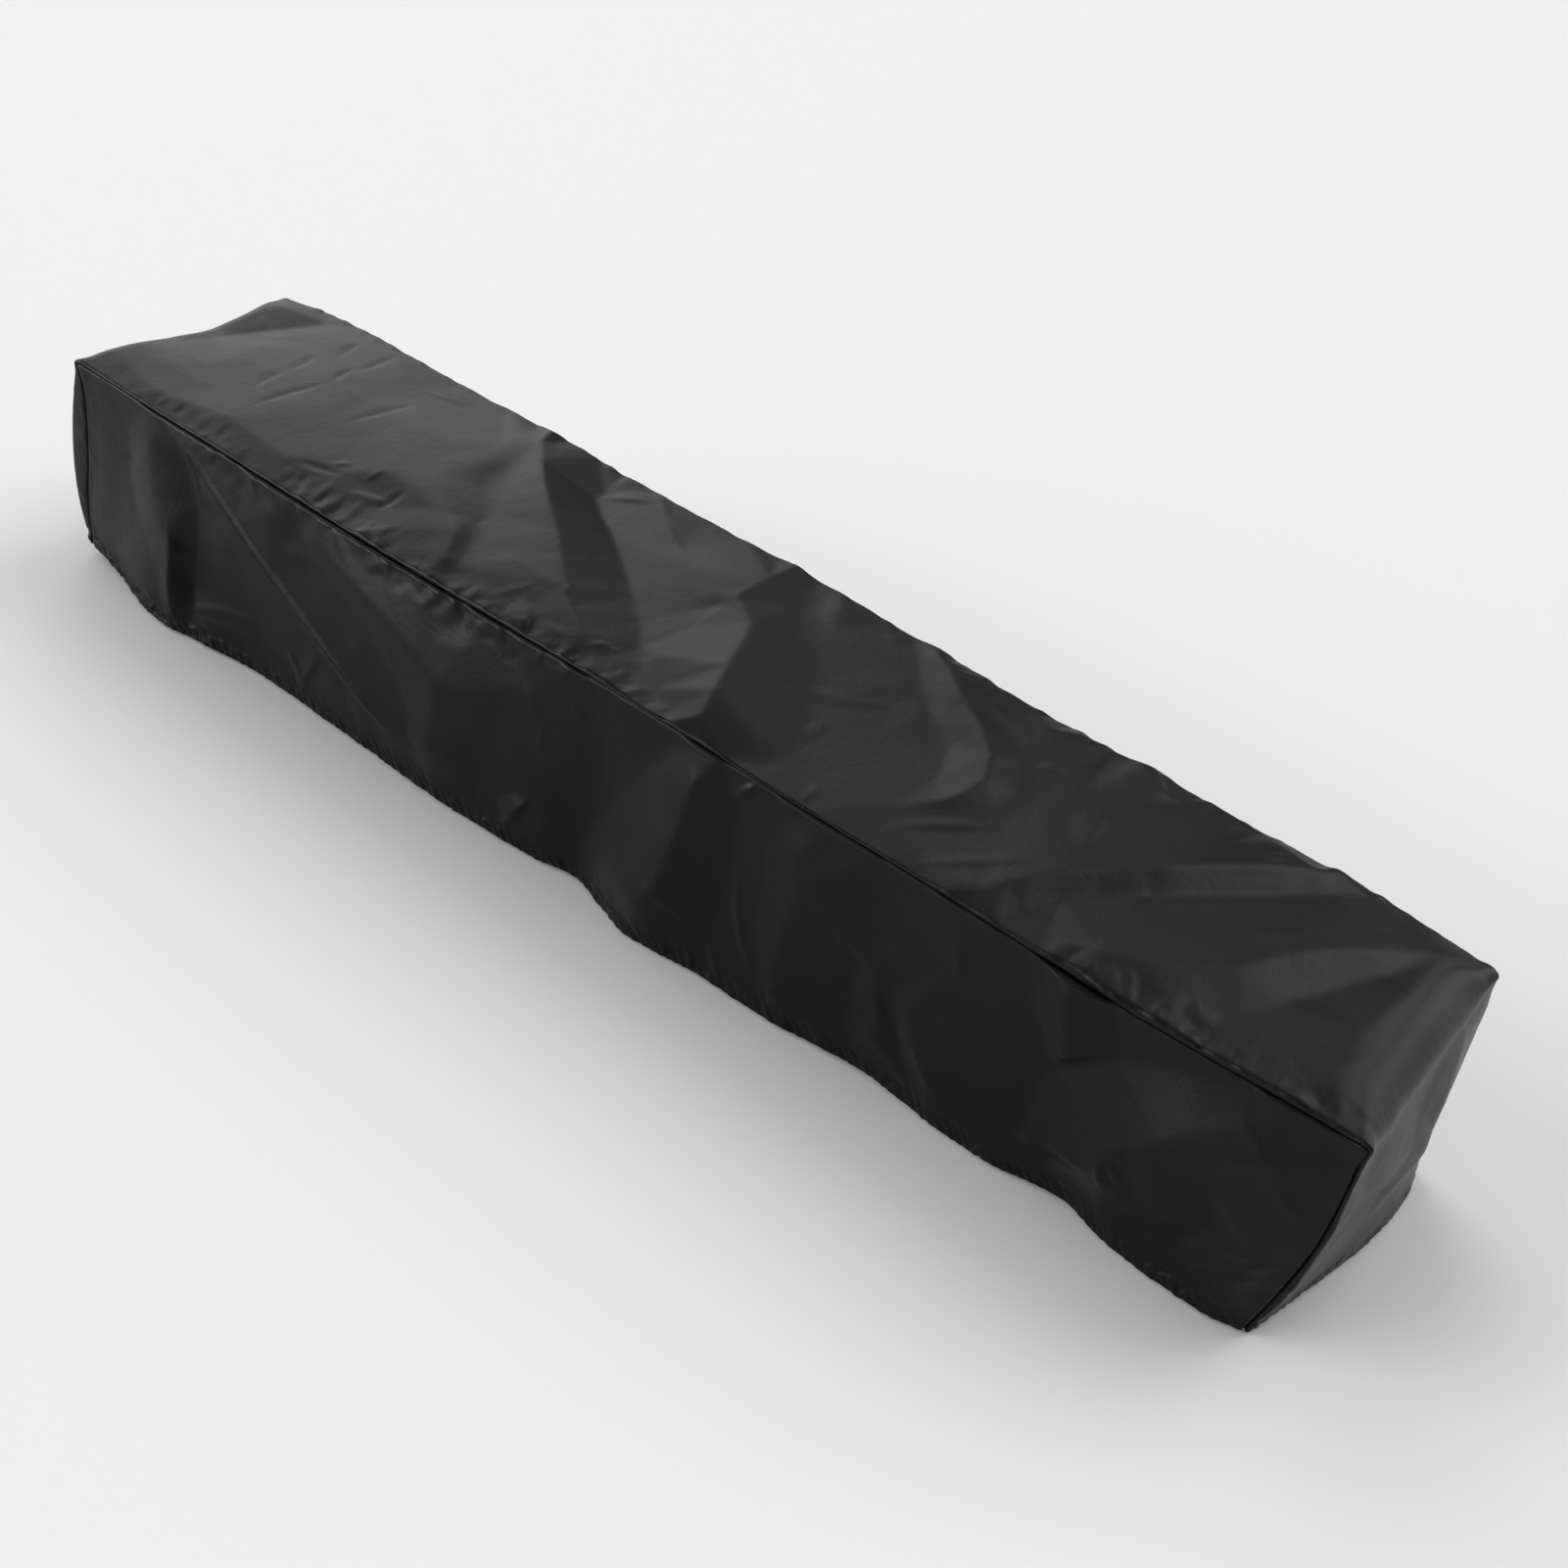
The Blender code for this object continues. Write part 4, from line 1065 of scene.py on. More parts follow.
TOP_CRUMPLES = (
    Crumple(-0.570, -0.420, 0.030, 0.0009),
    Crumple(-0.400, -0.250, 0.040, 0.0017),
    Crumple(-0.240, -0.110, 0.034, 0.0018),
    Crumple(-0.120, 0.060, 0.034, 0.0022),
    Crumple(0.170, 0.240, 0.020, 0.0010),
    Crumple(0.420, 0.665, 0.042, 0.0030),
)
FRONT_CRUMPLES = (
    Crumple(-0.535, -0.400, 0.032, 0.0015),
    Crumple(-0.390, -0.270, 0.028, 0.0014),
    Crumple(-0.270, -0.030, 0.034, 0.0020),
    Crumple(-0.030, 0.030, 0.020, 0.0014),
    Crumple(0.300, 0.560, 0.012, 0.0010),
)
CRUMPLE_SIZE = 0.021
CRUMPLE_FINE = 0.0085
CRUMPLE_FINE_SHARE = 0.28
CRUMPLE_ENDS = 0.025
CRUMPLE_START = 0.006
CRUMPLE_ANGLE = 0.75
CRUMPLE_FINE_ANGLE = 0.3

# Puckers: the least and the most of each share that is drawn, and how they fade
PUCKER_DEPTH = 0.4
PUCKER_SPACING = (0.6, 1.5)
PUCKER_WIDTH = (0.35, 0.75)
PUCKER_LENGTH = (0.5, 1.35)
PUCKER_HEIGHT = (0.4, 1.2)
PUCKER_LEAN = (-0.8, 0.8)
PUCKER_OUTWARD = 0.72
PUCKER_INWARD = -0.7
PUCKER_TIP = 0.2
PUCKER_START = 0.004

# Steps between the seeds of one piece, so that no two reliefs repeat each other
SEED_BACK = 1
SEED_FIRST_SIDE = 3
SEED_LAST_SIDE = 4
SEED_STRIP_SIDES = (2, 3)
SEED_HEM = 9
SEED_RELIEF = 20
SEED_CRUMPLE = 30


def crumple_relief(rows: Sequence[Crumple], along: Array, away: Array, seed: int) -> Array:
    """Relief of the small facets beside a seam, pressed in or out.

    Args:
        rows: The crushed stretches of the seam.
        along: Place along the seam.
        away: Distance from the seam.
        seed: Seed of the facets.

    Returns:
        The relief in metres.
    """
    relief = np.zeros(np.broadcast(along, away).shape)
    large = facets(along, away, CRUMPLE_SIZE, seed, CRUMPLE_ANGLE)
    small = facets(along, away, CRUMPLE_FINE, seed + 1, CRUMPLE_FINE_ANGLE)
    for row in rows:
        inside = (ease((along - row.start) / CRUMPLE_ENDS)
                  * ease((row.end - along) / CRUMPLE_ENDS))
        fade = ease(1.0 - away / row.reach) * ease(away / CRUMPLE_START)
        relief += row.height * inside * fade * (large + CRUMPLE_FINE_SHARE * small)
    return relief


def pucker_relief(rows: Sequence[Puckers], along: Array, away: Array, seed: int) -> Array:
    """Relief of the bumps that a seam's stitches pull into the cloth beside it.

    Args:
        rows: The stretches of the seam.
        along: Place along the seam.
        away: Distance from the seam.
        seed: Seed of the bumps' places and sizes.

    Returns:
        The relief in metres.
    """
    draw = np.random.default_rng(seed)
    relief = np.zeros(np.broadcast(along, away).shape)
    for row in rows:
        place = row.start
        while place < row.end:
            place += row.spacing * draw.uniform(*PUCKER_SPACING)
            width = row.spacing * draw.uniform(*PUCKER_WIDTH)
            length = row.length * draw.uniform(*PUCKER_LENGTH)
            height = row.height * draw.uniform(*PUCKER_HEIGHT)
            height = height * (1 if draw.random() < PUCKER_OUTWARD else PUCKER_INWARD)
            lean = draw.uniform(*PUCKER_LEAN)
            offset = np.abs(along - place - lean * away) / width
            tent = np.clip(1.0 - np.hypot(offset, PUCKER_TIP), 0.0, 1.0)
            relief += height * tent * ease(1.0 - away / length)
    return relief * ease(away / PUCKER_START)


@dataclass(frozen=True)
class Hem:
    """A turned hem with a gathering thread in it, and the gathers above it.

    The casing is the folded part below the stitches. The gathers are short bumps that the
    thread pulls in, each a little different: the spreads are the least and the most of the
    share that is drawn for each.
    """

    casing: float = 0.014
    stitch_depth: float = 0.0003
    casing_swell: float = 0.0002
    pitch: float = 0.0098
    gather: float = 0.0006
    reach: float = 0.020
    slant: float = 0.8
    crush_size: float = 0.0085
    crush: float = 0.0016
    crush_reach: float = 0.026
    crush_angle: float = 0.9
    run: float = 1.6
    start: float = -0.8
    pitch_spread: tuple[float, float] = (0.65, 1.35)
    size_spread: tuple[float, float] = (0.35, 1.25)
    reach_spread: tuple[float, float] = (0.45, 1.2)
    wave_power: float = 0.8
    fade_start: float = 0.004
    edge_share: float = 0.55
    edge_rise: float = 0.006
    stitch_width: float = 0.0016
    swell_rise: float = 0.003

    def relief(self, along: Array, above: Array, seed: int) -> Array:
        """Relief of the hem and its gathers.

        Args:
            along: Place along the hem.
            above: Height above the hem's edge.
            seed: Seed of the gathers' places and sizes.

        Returns:
            The relief in metres.
        """
        draw = np.random.default_rng(seed)
        count = int(self.run / self.pitch)
        steps = self.pitch * draw.uniform(*self.pitch_spread, count)
        marks = self.start + np.cumsum(steps)
        sizes = draw.uniform(*self.size_spread, count)
        tall = draw.uniform(*self.reach_spread, count)
        place = along + self.slant * above
        phase = np.interp(place, marks, np.arange(count))
        size = np.interp(place, marks, sizes)
        reach = self.reach * np.interp(place, marks, tall)
        wave = np.cos(2 * np.pi * phase)
        wave = np.sign(wave) * np.abs(wave) ** self.wave_power
        fade = ease(1.0 - (above - self.fade_start) / reach)
        edge = mix(self.edge_share, 1.0, ease(above / self.edge_rise))
        stitches = np.exp(-((above - self.casing) / self.stitch_width) ** 2)
        swell = ease(1.0 - above / self.casing) * ease(above / self.swell_rise)
        crush = facets(along, above, self.crush_size, seed + 2, self.crush_angle)
        crush = crush * self.crush * ease(1.0 - above / self.crush_reach) * edge
        return (self.gather * size * wave * fade * edge + crush
                - self.stitch_depth * stitches + self.casing_swell * swell)


@dataclass(frozen=True)
class Relief:
    """Small relief that the whole cloth keeps from having been packed: flat facets between
    creases, in two sizes, each of which is stronger in some patches than in others."""

    large_size: float = 0.042
    large_height: float = 0.00055
    small_size: float = 0.015
    small_height: float = 0.00012
    patch_size: float = 0.11
    patch_angle: float = 0.4
    large_angle: float = 0.55
    small_angle: float = 1.15
    large_least: float = 0.35
    small_least: float = 0.3

    def at(self, along: Array, over: Array, seed: int) -> Array:
        """Relief in metres at a place of the cut cloth."""
        patches = facets(along, over, self.patch_size, seed + 5, self.patch_angle)
        large = facets(along, over, self.large_size, seed, self.large_angle)
        small = facets(along, over, self.small_size, seed + 1, self.small_angle)
        return (self.large_height * large * mix(self.large_least, 1.0, ease(0.5 + patches))
                + self.small_height * small * mix(self.small_least, 1.0, ease(0.5 - patches)))


@dataclass
class Sheet:
    """One cut piece of cloth as a thin closed body: a fine outer face and a coarser inner one."""

    name: str
    flat: tuple[float, float]
    thickness: float = 0.0007
    coarse: int = 3
    seam_depth: float = 0.0014
    seam_reach: float = 0.0026
    allowance: tuple[float, ...] = (0.0018, 0.0038, 0.0060)
    hem_roll: tuple[tuple[float, float], ...] = (
        (0.0009, -0.0006), (0.0022, -0.0004), (0.0040, 0.0008))
    dip_limit: float = 0.0045
    sharp_angle: float = math.radians(60)

    def turned_in(self, grid: Array, cut: Array, first: Array, last: Array,
                  across: tuple[float, float]) -> tuple[Array, Array]:
        """Add the seam allowances, turned in, along a grid's first and last columns.

        Args:
            grid: The outer face.
            cut: Each point's place on the flat cloth.
            first: The way into the seam at each point of the first column.
            last: The same for the last column.
            across: The way from the first column to the last on the flat cloth.

        Returns:
            The wider face and its places on the flat cloth.
        """
        way = np.array(across)
        inner = self.allowance[::-1]
        columns = [grid[:, 0] + first * deep for deep in inner] + list(grid.transpose(1, 0, 2))
        columns += [grid[:, -1] + last * deep for deep in self.allowance]
        places = [cut[:, 0] - way * deep for deep in inner] + list(cut.transpose(1, 0, 2))
        places += [cut[:, -1] + way * deep for deep in self.allowance]
        return np.stack(columns, axis=1), np.stack(places, axis=1)

    def padded(self, row: Array) -> Array:
        """A row of ways or normals, made as long as the row of a face with its allowances."""
        count = len(self.allowance)
        return np.pad(row, ((count, count), (0, 0)), mode="edge")

    def rolled(self, line: Array, places: Array, normal: Array,
               over: tuple[float, float]) -> tuple[list[Array], list[Array]]:
        """The rows of a hem's rolled edge.

        Args:
            line: The face's row at the hem.
            places: Its places on the flat cloth.
            normal: The normals of that row, without the allowances.
            over: The way over the hem on the flat cloth.

        Returns:
            The rows, and their places on the flat cloth.
        """
        normal, way = self.padded(normal), np.array(over)
        return ([line - normal * deep + DOWN * low for deep, low in self.hem_roll],
                [places + way * deep for deep, _ in self.hem_roll])

    def inner_face(self, outer: Array, normals: Array, rows: Array, columns: Array) -> Array:
        """Lay the inner face under the outer one, clear of its smallest dips.

        Args:
            outer: The outer face.
            normals: Its normals.
            rows: The rows that the inner face keeps.
            columns: The columns that it keeps.

        Returns:
            The inner face's points.
        """
        reach = self.coarse
        pad = ((reach, reach), (reach, reach), (0, 0))
        spread = np.zeros(outer.shape[:2])
        near = np.pad(outer, pad, mode="edge")
        height, width = outer.shape[:2]
        for i in range(-reach, reach + 1):
            for j in range(-reach, reach + 1):
                shifted = near[reach + i:reach + i + height, reach + j:reach + j + width]
                spread = np.maximum(spread, ((outer - shifted) * normals).sum(-1))
        spread[:1], spread[-1:], spread[:, :1], spread[:, -1:] = 0, 0, 0, 0
        spread = np.minimum(spread, self.dip_limit)
        inner = outer - normals * (self.thickness + spread)[..., None]
        return inner[np.ix_(rows, columns)]

    def body(self, outer: Array, cut: Array, outward: float) -> bpy.types.Object:
        """Close the sheet and make it an object.

        Args:
            outer: The outer face's points.
            cut: Each point's place on the flat cloth, in metres.
            outward: 1 or -1, the way round in which the grid faces out.

        Returns:
            The object.
        """
        height, width = outer.shape[:2]
        rows = np.unique(np.append(np.arange(0, height, self.coarse), height - 1))
        columns = np.unique(np.append(np.arange(0, width, self.coarse), width - 1))
        inner = self.inner_face(outer, normals_of(outer, outward), rows, columns)
        face_out = np.arange(height * width).reshape(height, width)
        face_in = height * width + np.arange(len(rows) * len(columns)).reshape(len(rows), -1)

        def quads(grid: Array) -> Array:
            """The quads of a grid of point numbers."""
            a, b = grid[:-1, :-1], grid[1:, :-1]
            c, d = grid[1:, 1:], grid[:-1, 1:]
            return np.stack([a, b, c, d], axis=-1).reshape(-1, 4)

        outside, inside = quads(face_out), quads(face_in)[:, ::-1]
        fine = [face_out[0, :], face_out[:, -1], face_out[-1, ::-1], face_out[::-1, 0]]
        bare = [face_in[0, :], face_in[:, -1], face_in[-1, ::-1], face_in[::-1, 0]]
        keep = [columns, rows, width - 1 - columns[::-1], height - 1 - rows[::-1]]
        rim = []
        for line, under, kept in zip(fine, bare, keep):
            for k in range(len(kept) - 1):
                first, last = int(kept[k]), int(kept[k + 1])
                half = (first + last + 1) // 2
                for step in range(first, last):
                    apex = under[k] if step < half else under[k + 1]
                    rim.append((line[step + 1], line[step], apex))
                rim.append((under[k], under[k + 1], line[half]))
        faces = outside.tolist() + inside.tolist() + [tuple(map(int, face)) for face in rim]
        if outward < 0:
            faces = [face[::-1] for face in faces]
        points = np.concatenate([outer.reshape(-1, 3), inner.reshape(-1, 3)])
        places = np.concatenate([cut.reshape(-1, 2), cut[np.ix_(rows, columns)].reshape(-1, 2)])
        mesh = bpy.data.meshes.new(self.name)
        mesh.from_pydata(points.tolist(), [], faces)
        mesh.update()
        layer = mesh.uv_layers.new(name="cut_cloth")
        corner = np.zeros(len(mesh.loops), dtype=np.int32)
        mesh.loops.foreach_get("vertex_index", corner)
        layer.data.foreach_set("uv", places[corner].ravel())
        mesh.shade_smooth()
        mesh.set_sharp_from_angle(angle=self.sharp_angle)
        item = bpy.data.objects.new(self.name, mesh)
        bpy.context.scene.collection.objects.link(item)
        return item


@dataclass
class Stations:
    """Where the strip's grid has its rows: round each end and along the top."""

    wall_fine: float = 0.0013
    wall_coarse: float = 0.0027
    top_fine: float = 0.0014
    top_coarse: float = 0.0023
    across_fine: float = 0.0009
    across_coarse: float = 0.0031
    turn_steps: int = 16
    head_reach: float = 0.010
    hem_reach: float = 0.030
    edge_reach: float = 0.02
    cloth_width: float = 0.28

    def drops(self) -> Array:
        """Shares of the drop, from the top edge down to the hem."""
        return graded(DROP, self.wall_fine, self.wall_coarse, self.head_reach, self.hem_reach)

    def along_top(self) -> Array:
        """Shares of the top's length."""
        return graded(LENGTH, self.top_fine, self.top_coarse, self.edge_reach, self.edge_reach)

    def across(self) -> Array:
        """Shares of the width between the two seams."""
        return graded(self.cloth_width, self.across_fine, self.across_coarse,
                      self.edge_reach, self.edge_reach)

    def turns(self) -> Array:
        """Shares of the quarter turn over the top edge, leaving out its start."""
        return np.linspace(0.0, 1.0, self.turn_steps + 1)[1:]

    def corner(self) -> int:
        """The row, counted from a hem, at which the corner of the seams is."""
        return len(self.drops()) - 1 + self.turn_steps // 2


def strip_base(stations: Stations) -> Array:
    """Points of the strip with its main folds, a row for each station from left to right hem."""
    across = stations.across()[None, :]
    drops = stations.drops()[:, None]
    turns = stations.turns()[:, None]
    ends = {}
    for side in Side:
        wall = end_points(side, np.ones_like(drops), drops, across)
        wall = wall + ear(side.value, 1.0, drops, across)
        turn = end_points(side, turns, np.zeros_like(turns), across)
        turn = turn + ear(side.value, turns, 0.0, across)
        ends[side] = np.concatenate([turn[:-1], wall])
    share = stations.along_top()[:, None]
    level = np.zeros_like(across)
    left = -(HALF_LENGTH + wall_offset(Side.LEFT, level, across)
             - end_radius(Side.LEFT, across))
    right = (HALF_LENGTH + wall_offset(Side.RIGHT, level, across)
             - end_radius(Side.RIGHT, across))
    x = mix(left, right, share)
    y, z = top_point(x, across)
    top = np.stack(np.broadcast_arrays(x, y, z), axis=-1)
    near = np.minimum(share, 1.0 - share) * LENGTH
    top = top + ear(np.where(share < 0.5, -1.0, 1.0), -near / EAR_REACH, 0.0, across)
    return np.concatenate([ends[Side.LEFT][::-1], top, ends[Side.RIGHT]])


def on_line(line: Array, run: Array, at: Array) -> Array:
    """The points of a line at some runs along it, given the run of each of its own points."""
    return np.stack([np.interp(at, run, line[:, axis]) for axis in range(3)], axis=-1)


def resampled(line: Array, steps: int) -> Array:
    """A line of points at even distances along it."""
    run = np.concatenate([[0.0], np.cumsum(np.linalg.norm(np.diff(line, axis=0), axis=1))])
    return on_line(line, run, np.linspace(0.0, run[-1], steps + 1))


def recounted(line: Array, count: int) -> Array:
    """A line of points or ways with another count of them."""
    return on_line(line, np.arange(len(line)), np.linspace(0, len(line) - 1, count))


def run_lengths(grid: Array, axis: int) -> Array:
    """Distance along a grid of points from its first row or column."""
    steps = np.linalg.norm(np.diff(grid, axis=axis), axis=-1)
    zero = np.zeros_like(np.take(steps, [0], axis=axis))
    return np.concatenate([zero, np.cumsum(steps, axis=axis)], axis=axis)


def seam_rolled(grid: Array, normals: Array, away: Array, depth: Array, reach: float) -> Array:
    """Let the cloth roll in towards a seam.

    Args:
        grid: The outer face.
        normals: Its normals.
        away: Distance from the seam.
        depth: How deep the cloth goes at the seam.
        reach: How far from the seam the roll begins.

    Returns:
        The outer face with its edge rolled in.
    """
    share = np.clip(1.0 - away / reach, 0.0, 1.0)
    return grid - normals * (depth * share ** 2)[..., None]


@dataclass(frozen=True)
class Waver:
    """How the depth of a seam's groove varies along it: a slow wave that swells, and a quick one."""

    slow: float = 0.28
    swell_length: float = 0.031
    slow_length: float = 0.0113
    quick: float = 0.18
    quick_length: float = 0.0067

    def at(self, along: Array) -> Array:
        """The depth's share at each place along the seam, about 1."""
        swell = np.sin(along / self.swell_length)
        return (1.0 + self.slow * swell * np.sin(along / self.slow_length + 1.0)
                + self.quick * np.sin(along / self.quick_length))


@dataclass
class LongWall:
    """One of the two long walls, hung from the strip's seam line."""

    sheet: Sheet
    outward: float
    edge: int
    hem_y: str
    hem_z: str
    puckers: tuple[Puckers, ...]
    seed: int
    panel_folds: PanelFolds | None = None
    folds: tuple[Fold, ...] = ()
    crumples: tuple[Crumple, ...] = ()
    hem: Hem = field(default_factory=Hem)
    relief: Relief = field(default_factory=Relief)
    waver: Waver = field(default_factory=Waver)
    step: float = 0.0017
    relief_start: float = 0.012
    side_start: float = 0.006

    def base(self, strip: Array, corner: int) -> Array:
        """Points of the wall with its main folds, stretched between seam line and hem.

        Args:
            strip: The strip's points.
            corner: The strip's row at which the corner of the seams is.

        Returns:
            The wall's points, a row for each height from the seam down.
        """
        seam = strip[:, self.edge]
        left = seam[:corner + 1][::-1]
        right = seam[len(seam) - corner - 1:]
        top = resampled(seam[corner:len(seam) - corner], int(LENGTH / self.step))
        width = top[-1, 0] - top[0, 0]
        over = ((top[:, 0] - top[0, 0]) / width)[None, :]
        down = ((top[0, 2] - left[:, 2]) / (top[0, 2] - left[-1, 2]))[:, None]
        hem_x = mix(left[-1, 0], right[-1, 0], over)
        hem = np.stack([hem_x, read(SECTIONS, hem_x, self.hem_y),
                        read(SECTIONS, hem_x, self.hem_z)], axis=-1)
        share, drop = over[..., None], down[..., None]
        sides = mix(left[:, None], right[:, None], share)
        corners = mix(mix(top[0], top[-1], share), mix(left[-1], right[-1], share), drop)
        grid = mix(top[None], hem, drop) + sides - corners
        hold = ease(over * width / CORNER_HOLD) * ease((1 - over) * width / CORNER_HOLD)
        x, z = grid[..., 0], grid[..., 2]
        if self.panel_folds:
            out = self.panel_folds.height(x, z, down * DROP, (1 - down) * DROP)
        else:
            out = folded(self.folds, x, z) * ease(down * DROP / HEAD_HOLD)
        grid[..., 1] += self.outward * out * hold
        return grid

    def dressed(self, base: Array, inwards: tuple[Array, Array, Array]) -> tuple[Array, Array]:
        """Add the seams, puckers, relief and hem to the wall.

        Args:
            base: The wall's points.
            inwards: The way into the left, top and right seams at each of their points.

        Returns:
            The outer face, and each point's place on the flat cloth.
        """
        normals = normals_of(base, -self.outward)
        down = run_lengths(base, 0)
        from_left = run_lengths(base, 1)
        from_right = from_left[:, -1:] - from_left
        above = down[-1:] - down
        along = base[..., 0]
        cut = np.stack([from_left - HALF_LENGTH, above], axis=-1)
        sides = np.minimum(from_left, from_right)
        lift = pucker_relief(self.puckers, along, down, self.seed) * PUCKER_DEPTH
        lift += crumple_relief(self.crumples, along, down, self.seed + SEED_CRUMPLE)
        lift += pucker_relief(UPRIGHT_PUCKERS, base[..., 2], from_left, self.seed + SEED_FIRST_SIDE)
        lift += pucker_relief(UPRIGHT_PUCKERS, base[..., 2], from_right, self.seed + SEED_LAST_SIDE)
        packed = self.relief.at(cut[..., 0], cut[..., 1], self.seed + SEED_RELIEF)
        lift += packed * ease(down / self.relief_start)
        lift += self.hem.relief(along, above, self.seed + SEED_HEM)
        lift *= ease(sides / self.side_start)
        grid = base + normals * lift[..., None]
        depth = self.sheet.seam_depth
        reach = self.sheet.seam_reach
        grid = seam_rolled(grid, normals, down, depth * self.waver.at(along), reach)
        for away in (from_left, from_right):
            grid = seam_rolled(grid, normals, away, depth * self.waver.at(base[..., 2]), reach)
        return self.edged(grid, normals, cut, inwards)

    def edged(self, grid: Array, normals: Array, cut: Array,
              inwards: tuple[Array, Array, Array]) -> tuple[Array, Array]:
        """Add the seam allowances, turned in, and the hem's rolled edge.

        Args:
            grid: The outer face between its seams and the hem.
            normals: Its normals.
            cut: Each point's place on the flat cloth.
            inwards: The way into the left, top and right seams at each of their points.

        Returns:
            The whole outer face and the places on the flat cloth.
        """
        left, top, right = inwards
        inner = self.sheet.allowance[::-1]
        grid[:, 0] += np.array([SEAM_GAP / 2, 0, 0])
        grid[:, -1] -= np.array([SEAM_GAP / 2, 0, 0])
        grid[0] += DOWN * SEAM_GAP / 2
        grid, cut = self.sheet.turned_in(grid, cut, left, right, (1.0, 0.0))
        head = [grid[0] + self.sheet.padded(top) * deep for deep in inner]
        head_cut = [cut[0] + [0, deep] for deep in inner]
        foot, foot_cut = self.sheet.rolled(grid[-1], cut[-1], normals[-1], (0.0, -1.0))
        grid = np.concatenate([np.stack(head), grid, np.stack(foot)])
        cut = np.concatenate([np.stack(head_cut), cut, np.stack(foot_cut)])
        return grid, cut


@dataclass
class TopStrip:
    """The strip that runs up the left end, over the top and down the right end."""

    sheet: Sheet
    stations: Stations = field(default_factory=Stations)
    hem: Hem = field(default_factory=Hem)
    relief: Relief = field(default_factory=Relief)
    waver: Waver = field(default_factory=Waver)
    seed: int = 11
    top_level: float = 0.045
    top_blend: float = 0.02
    side_start: float = 0.005

    def dressed(self, base: Array, inwards: tuple[Array, Array]) -> tuple[Array, Array]:
        """Add the seams, puckers, relief and hems to the strip.

        Args:
            base: The strip's points.
            inwards: The way into the front and back seams at each of their points.

        Returns:
            The outer face, and each point's place on the flat cloth.
        """
        normals = normals_of(base, 1.0)
        along = run_lengths(base, 0)
        along = along - along[len(along) // 2]
        from_front = run_lengths(base, 1)
        from_back = from_front[:, -1:] - from_front
        above = run_lengths(base, 0)
        above = np.minimum(above, above[-1:] - above)
        cut = np.stack([along, from_front], axis=-1)
        x, y, z = base[..., 0], base[..., 1], base[..., 2]
        on_top = ease((z + self.top_level) / self.top_blend)
        front = pucker_relief(TOP_PUCKERS, x, from_front, self.seed)
        back = pucker_relief(BACK_PUCKERS, x, from_back, self.seed + SEED_BACK)
        crushed = crumple_relief(TOP_CRUMPLES, x, from_front, self.seed + SEED_CRUMPLE)
        front = front * PUCKER_DEPTH + crushed
        lift = (front + back) * on_top
        for away, step in zip((from_front, from_back), SEED_STRIP_SIDES):
            sides = pucker_relief(UPRIGHT_PUCKERS, z, away, self.seed + step)
            lift += sides * (1 - on_top)
        lift += self.relief.at(cut[..., 0], cut[..., 1], self.seed + SEED_RELIEF)
        lift += self.hem.relief(y, above, self.seed + SEED_HEM)
        lift *= ease(np.minimum(from_front, from_back) / self.side_start)
        grid = base + normals * lift[..., None]
        depth = self.sheet.seam_depth
        reach = self.sheet.seam_reach
        waver = mix(self.waver.at(z), self.waver.at(x), on_top)
        for away in (from_front, from_back):
            grid = seam_rolled(grid, normals, away, depth * waver, reach)
        return self.edged(grid, normals, cut, inwards)

    def edged(self, grid: Array, normals: Array, cut: Array,
              inwards: tuple[Array, Array]) -> tuple[Array, Array]:
        """Add the seam allowances, turned in, and the two hems' rolled edges.

        Args:
            grid: The outer face between its seams and hems.
            normals: Its normals.
            cut: Each point's place on the flat cloth.
            inwards: The way into the front and back seams at each of their points.

        Returns:
            The whole outer face and the places on the flat cloth.
        """
        front, back = inwards
        for column, beside in ((0, 1), (-1, -2)):
            way = grid[:, beside] - grid[:, column]
            way /= np.linalg.norm(way, axis=-1, keepdims=True)
            grid[:, column] += way * SEAM_GAP / 2
        grid, cut = self.sheet.turned_in(grid, cut, front, back, (0.0, 1.0))
        ends = []
        for row, sign in ((0, -1), (-1, 1)):
            roll, roll_cut = self.sheet.rolled(grid[row], cut[row], normals[row], (sign, 0.0))
            ends.append((roll[::sign], roll_cut[::sign]))
        grid = np.concatenate([np.stack(ends[0][0]), grid, np.stack(ends[1][0])])
        cut = np.concatenate([np.stack(ends[0][1]), cut, np.stack(ends[1][1])])
        return grid, cut


def to_linear(code: str) -> tuple[float, float, float, float]:
    """Turn an sRGB hex colour into a linear one."""
    parts = [int(code[i:i + 2], 16) / 255 for i in (1, 3, 5)]
    lin = [p / 12.92 if p <= 0.04045 else ((p + 0.055) / 1.055) ** 2.4 for p in parts]
    return (*lin, 1.0)


def add_node(tree: bpy.types.NodeTree, kind: str, settings: dict | None = None,
             **links: object) -> bpy.types.Node:
    """Add a node with its settings and links.

    Args:
        tree: The node tree.
        kind: The node's type name, without its common prefix.
        settings: Values for the node's own properties.
        links: For each input, by name with _ for a blank, a value or an output socket. A name
            with a number at its end, such as Value_1, means the input at that place.

    Returns:
        The node.
    """
    node = tree.nodes.new("ShaderNode" + kind)
    for name, value in (settings or {}).items():
        setattr(node, name, value)
    for name, value in links.items():
        tail = name.rsplit("_", 1)[-1]
        key = int(tail) if tail.isdigit() else name.replace("_", " ")
        socket = node.inputs[key]
        if isinstance(value, bpy.types.NodeSocket):
            tree.links.new(value, socket)
        else:
            socket.default_value = value
    return node


# A wave texture of scale 1 repeats after this many units
WAVE_PERIOD = 2 * math.pi / 20


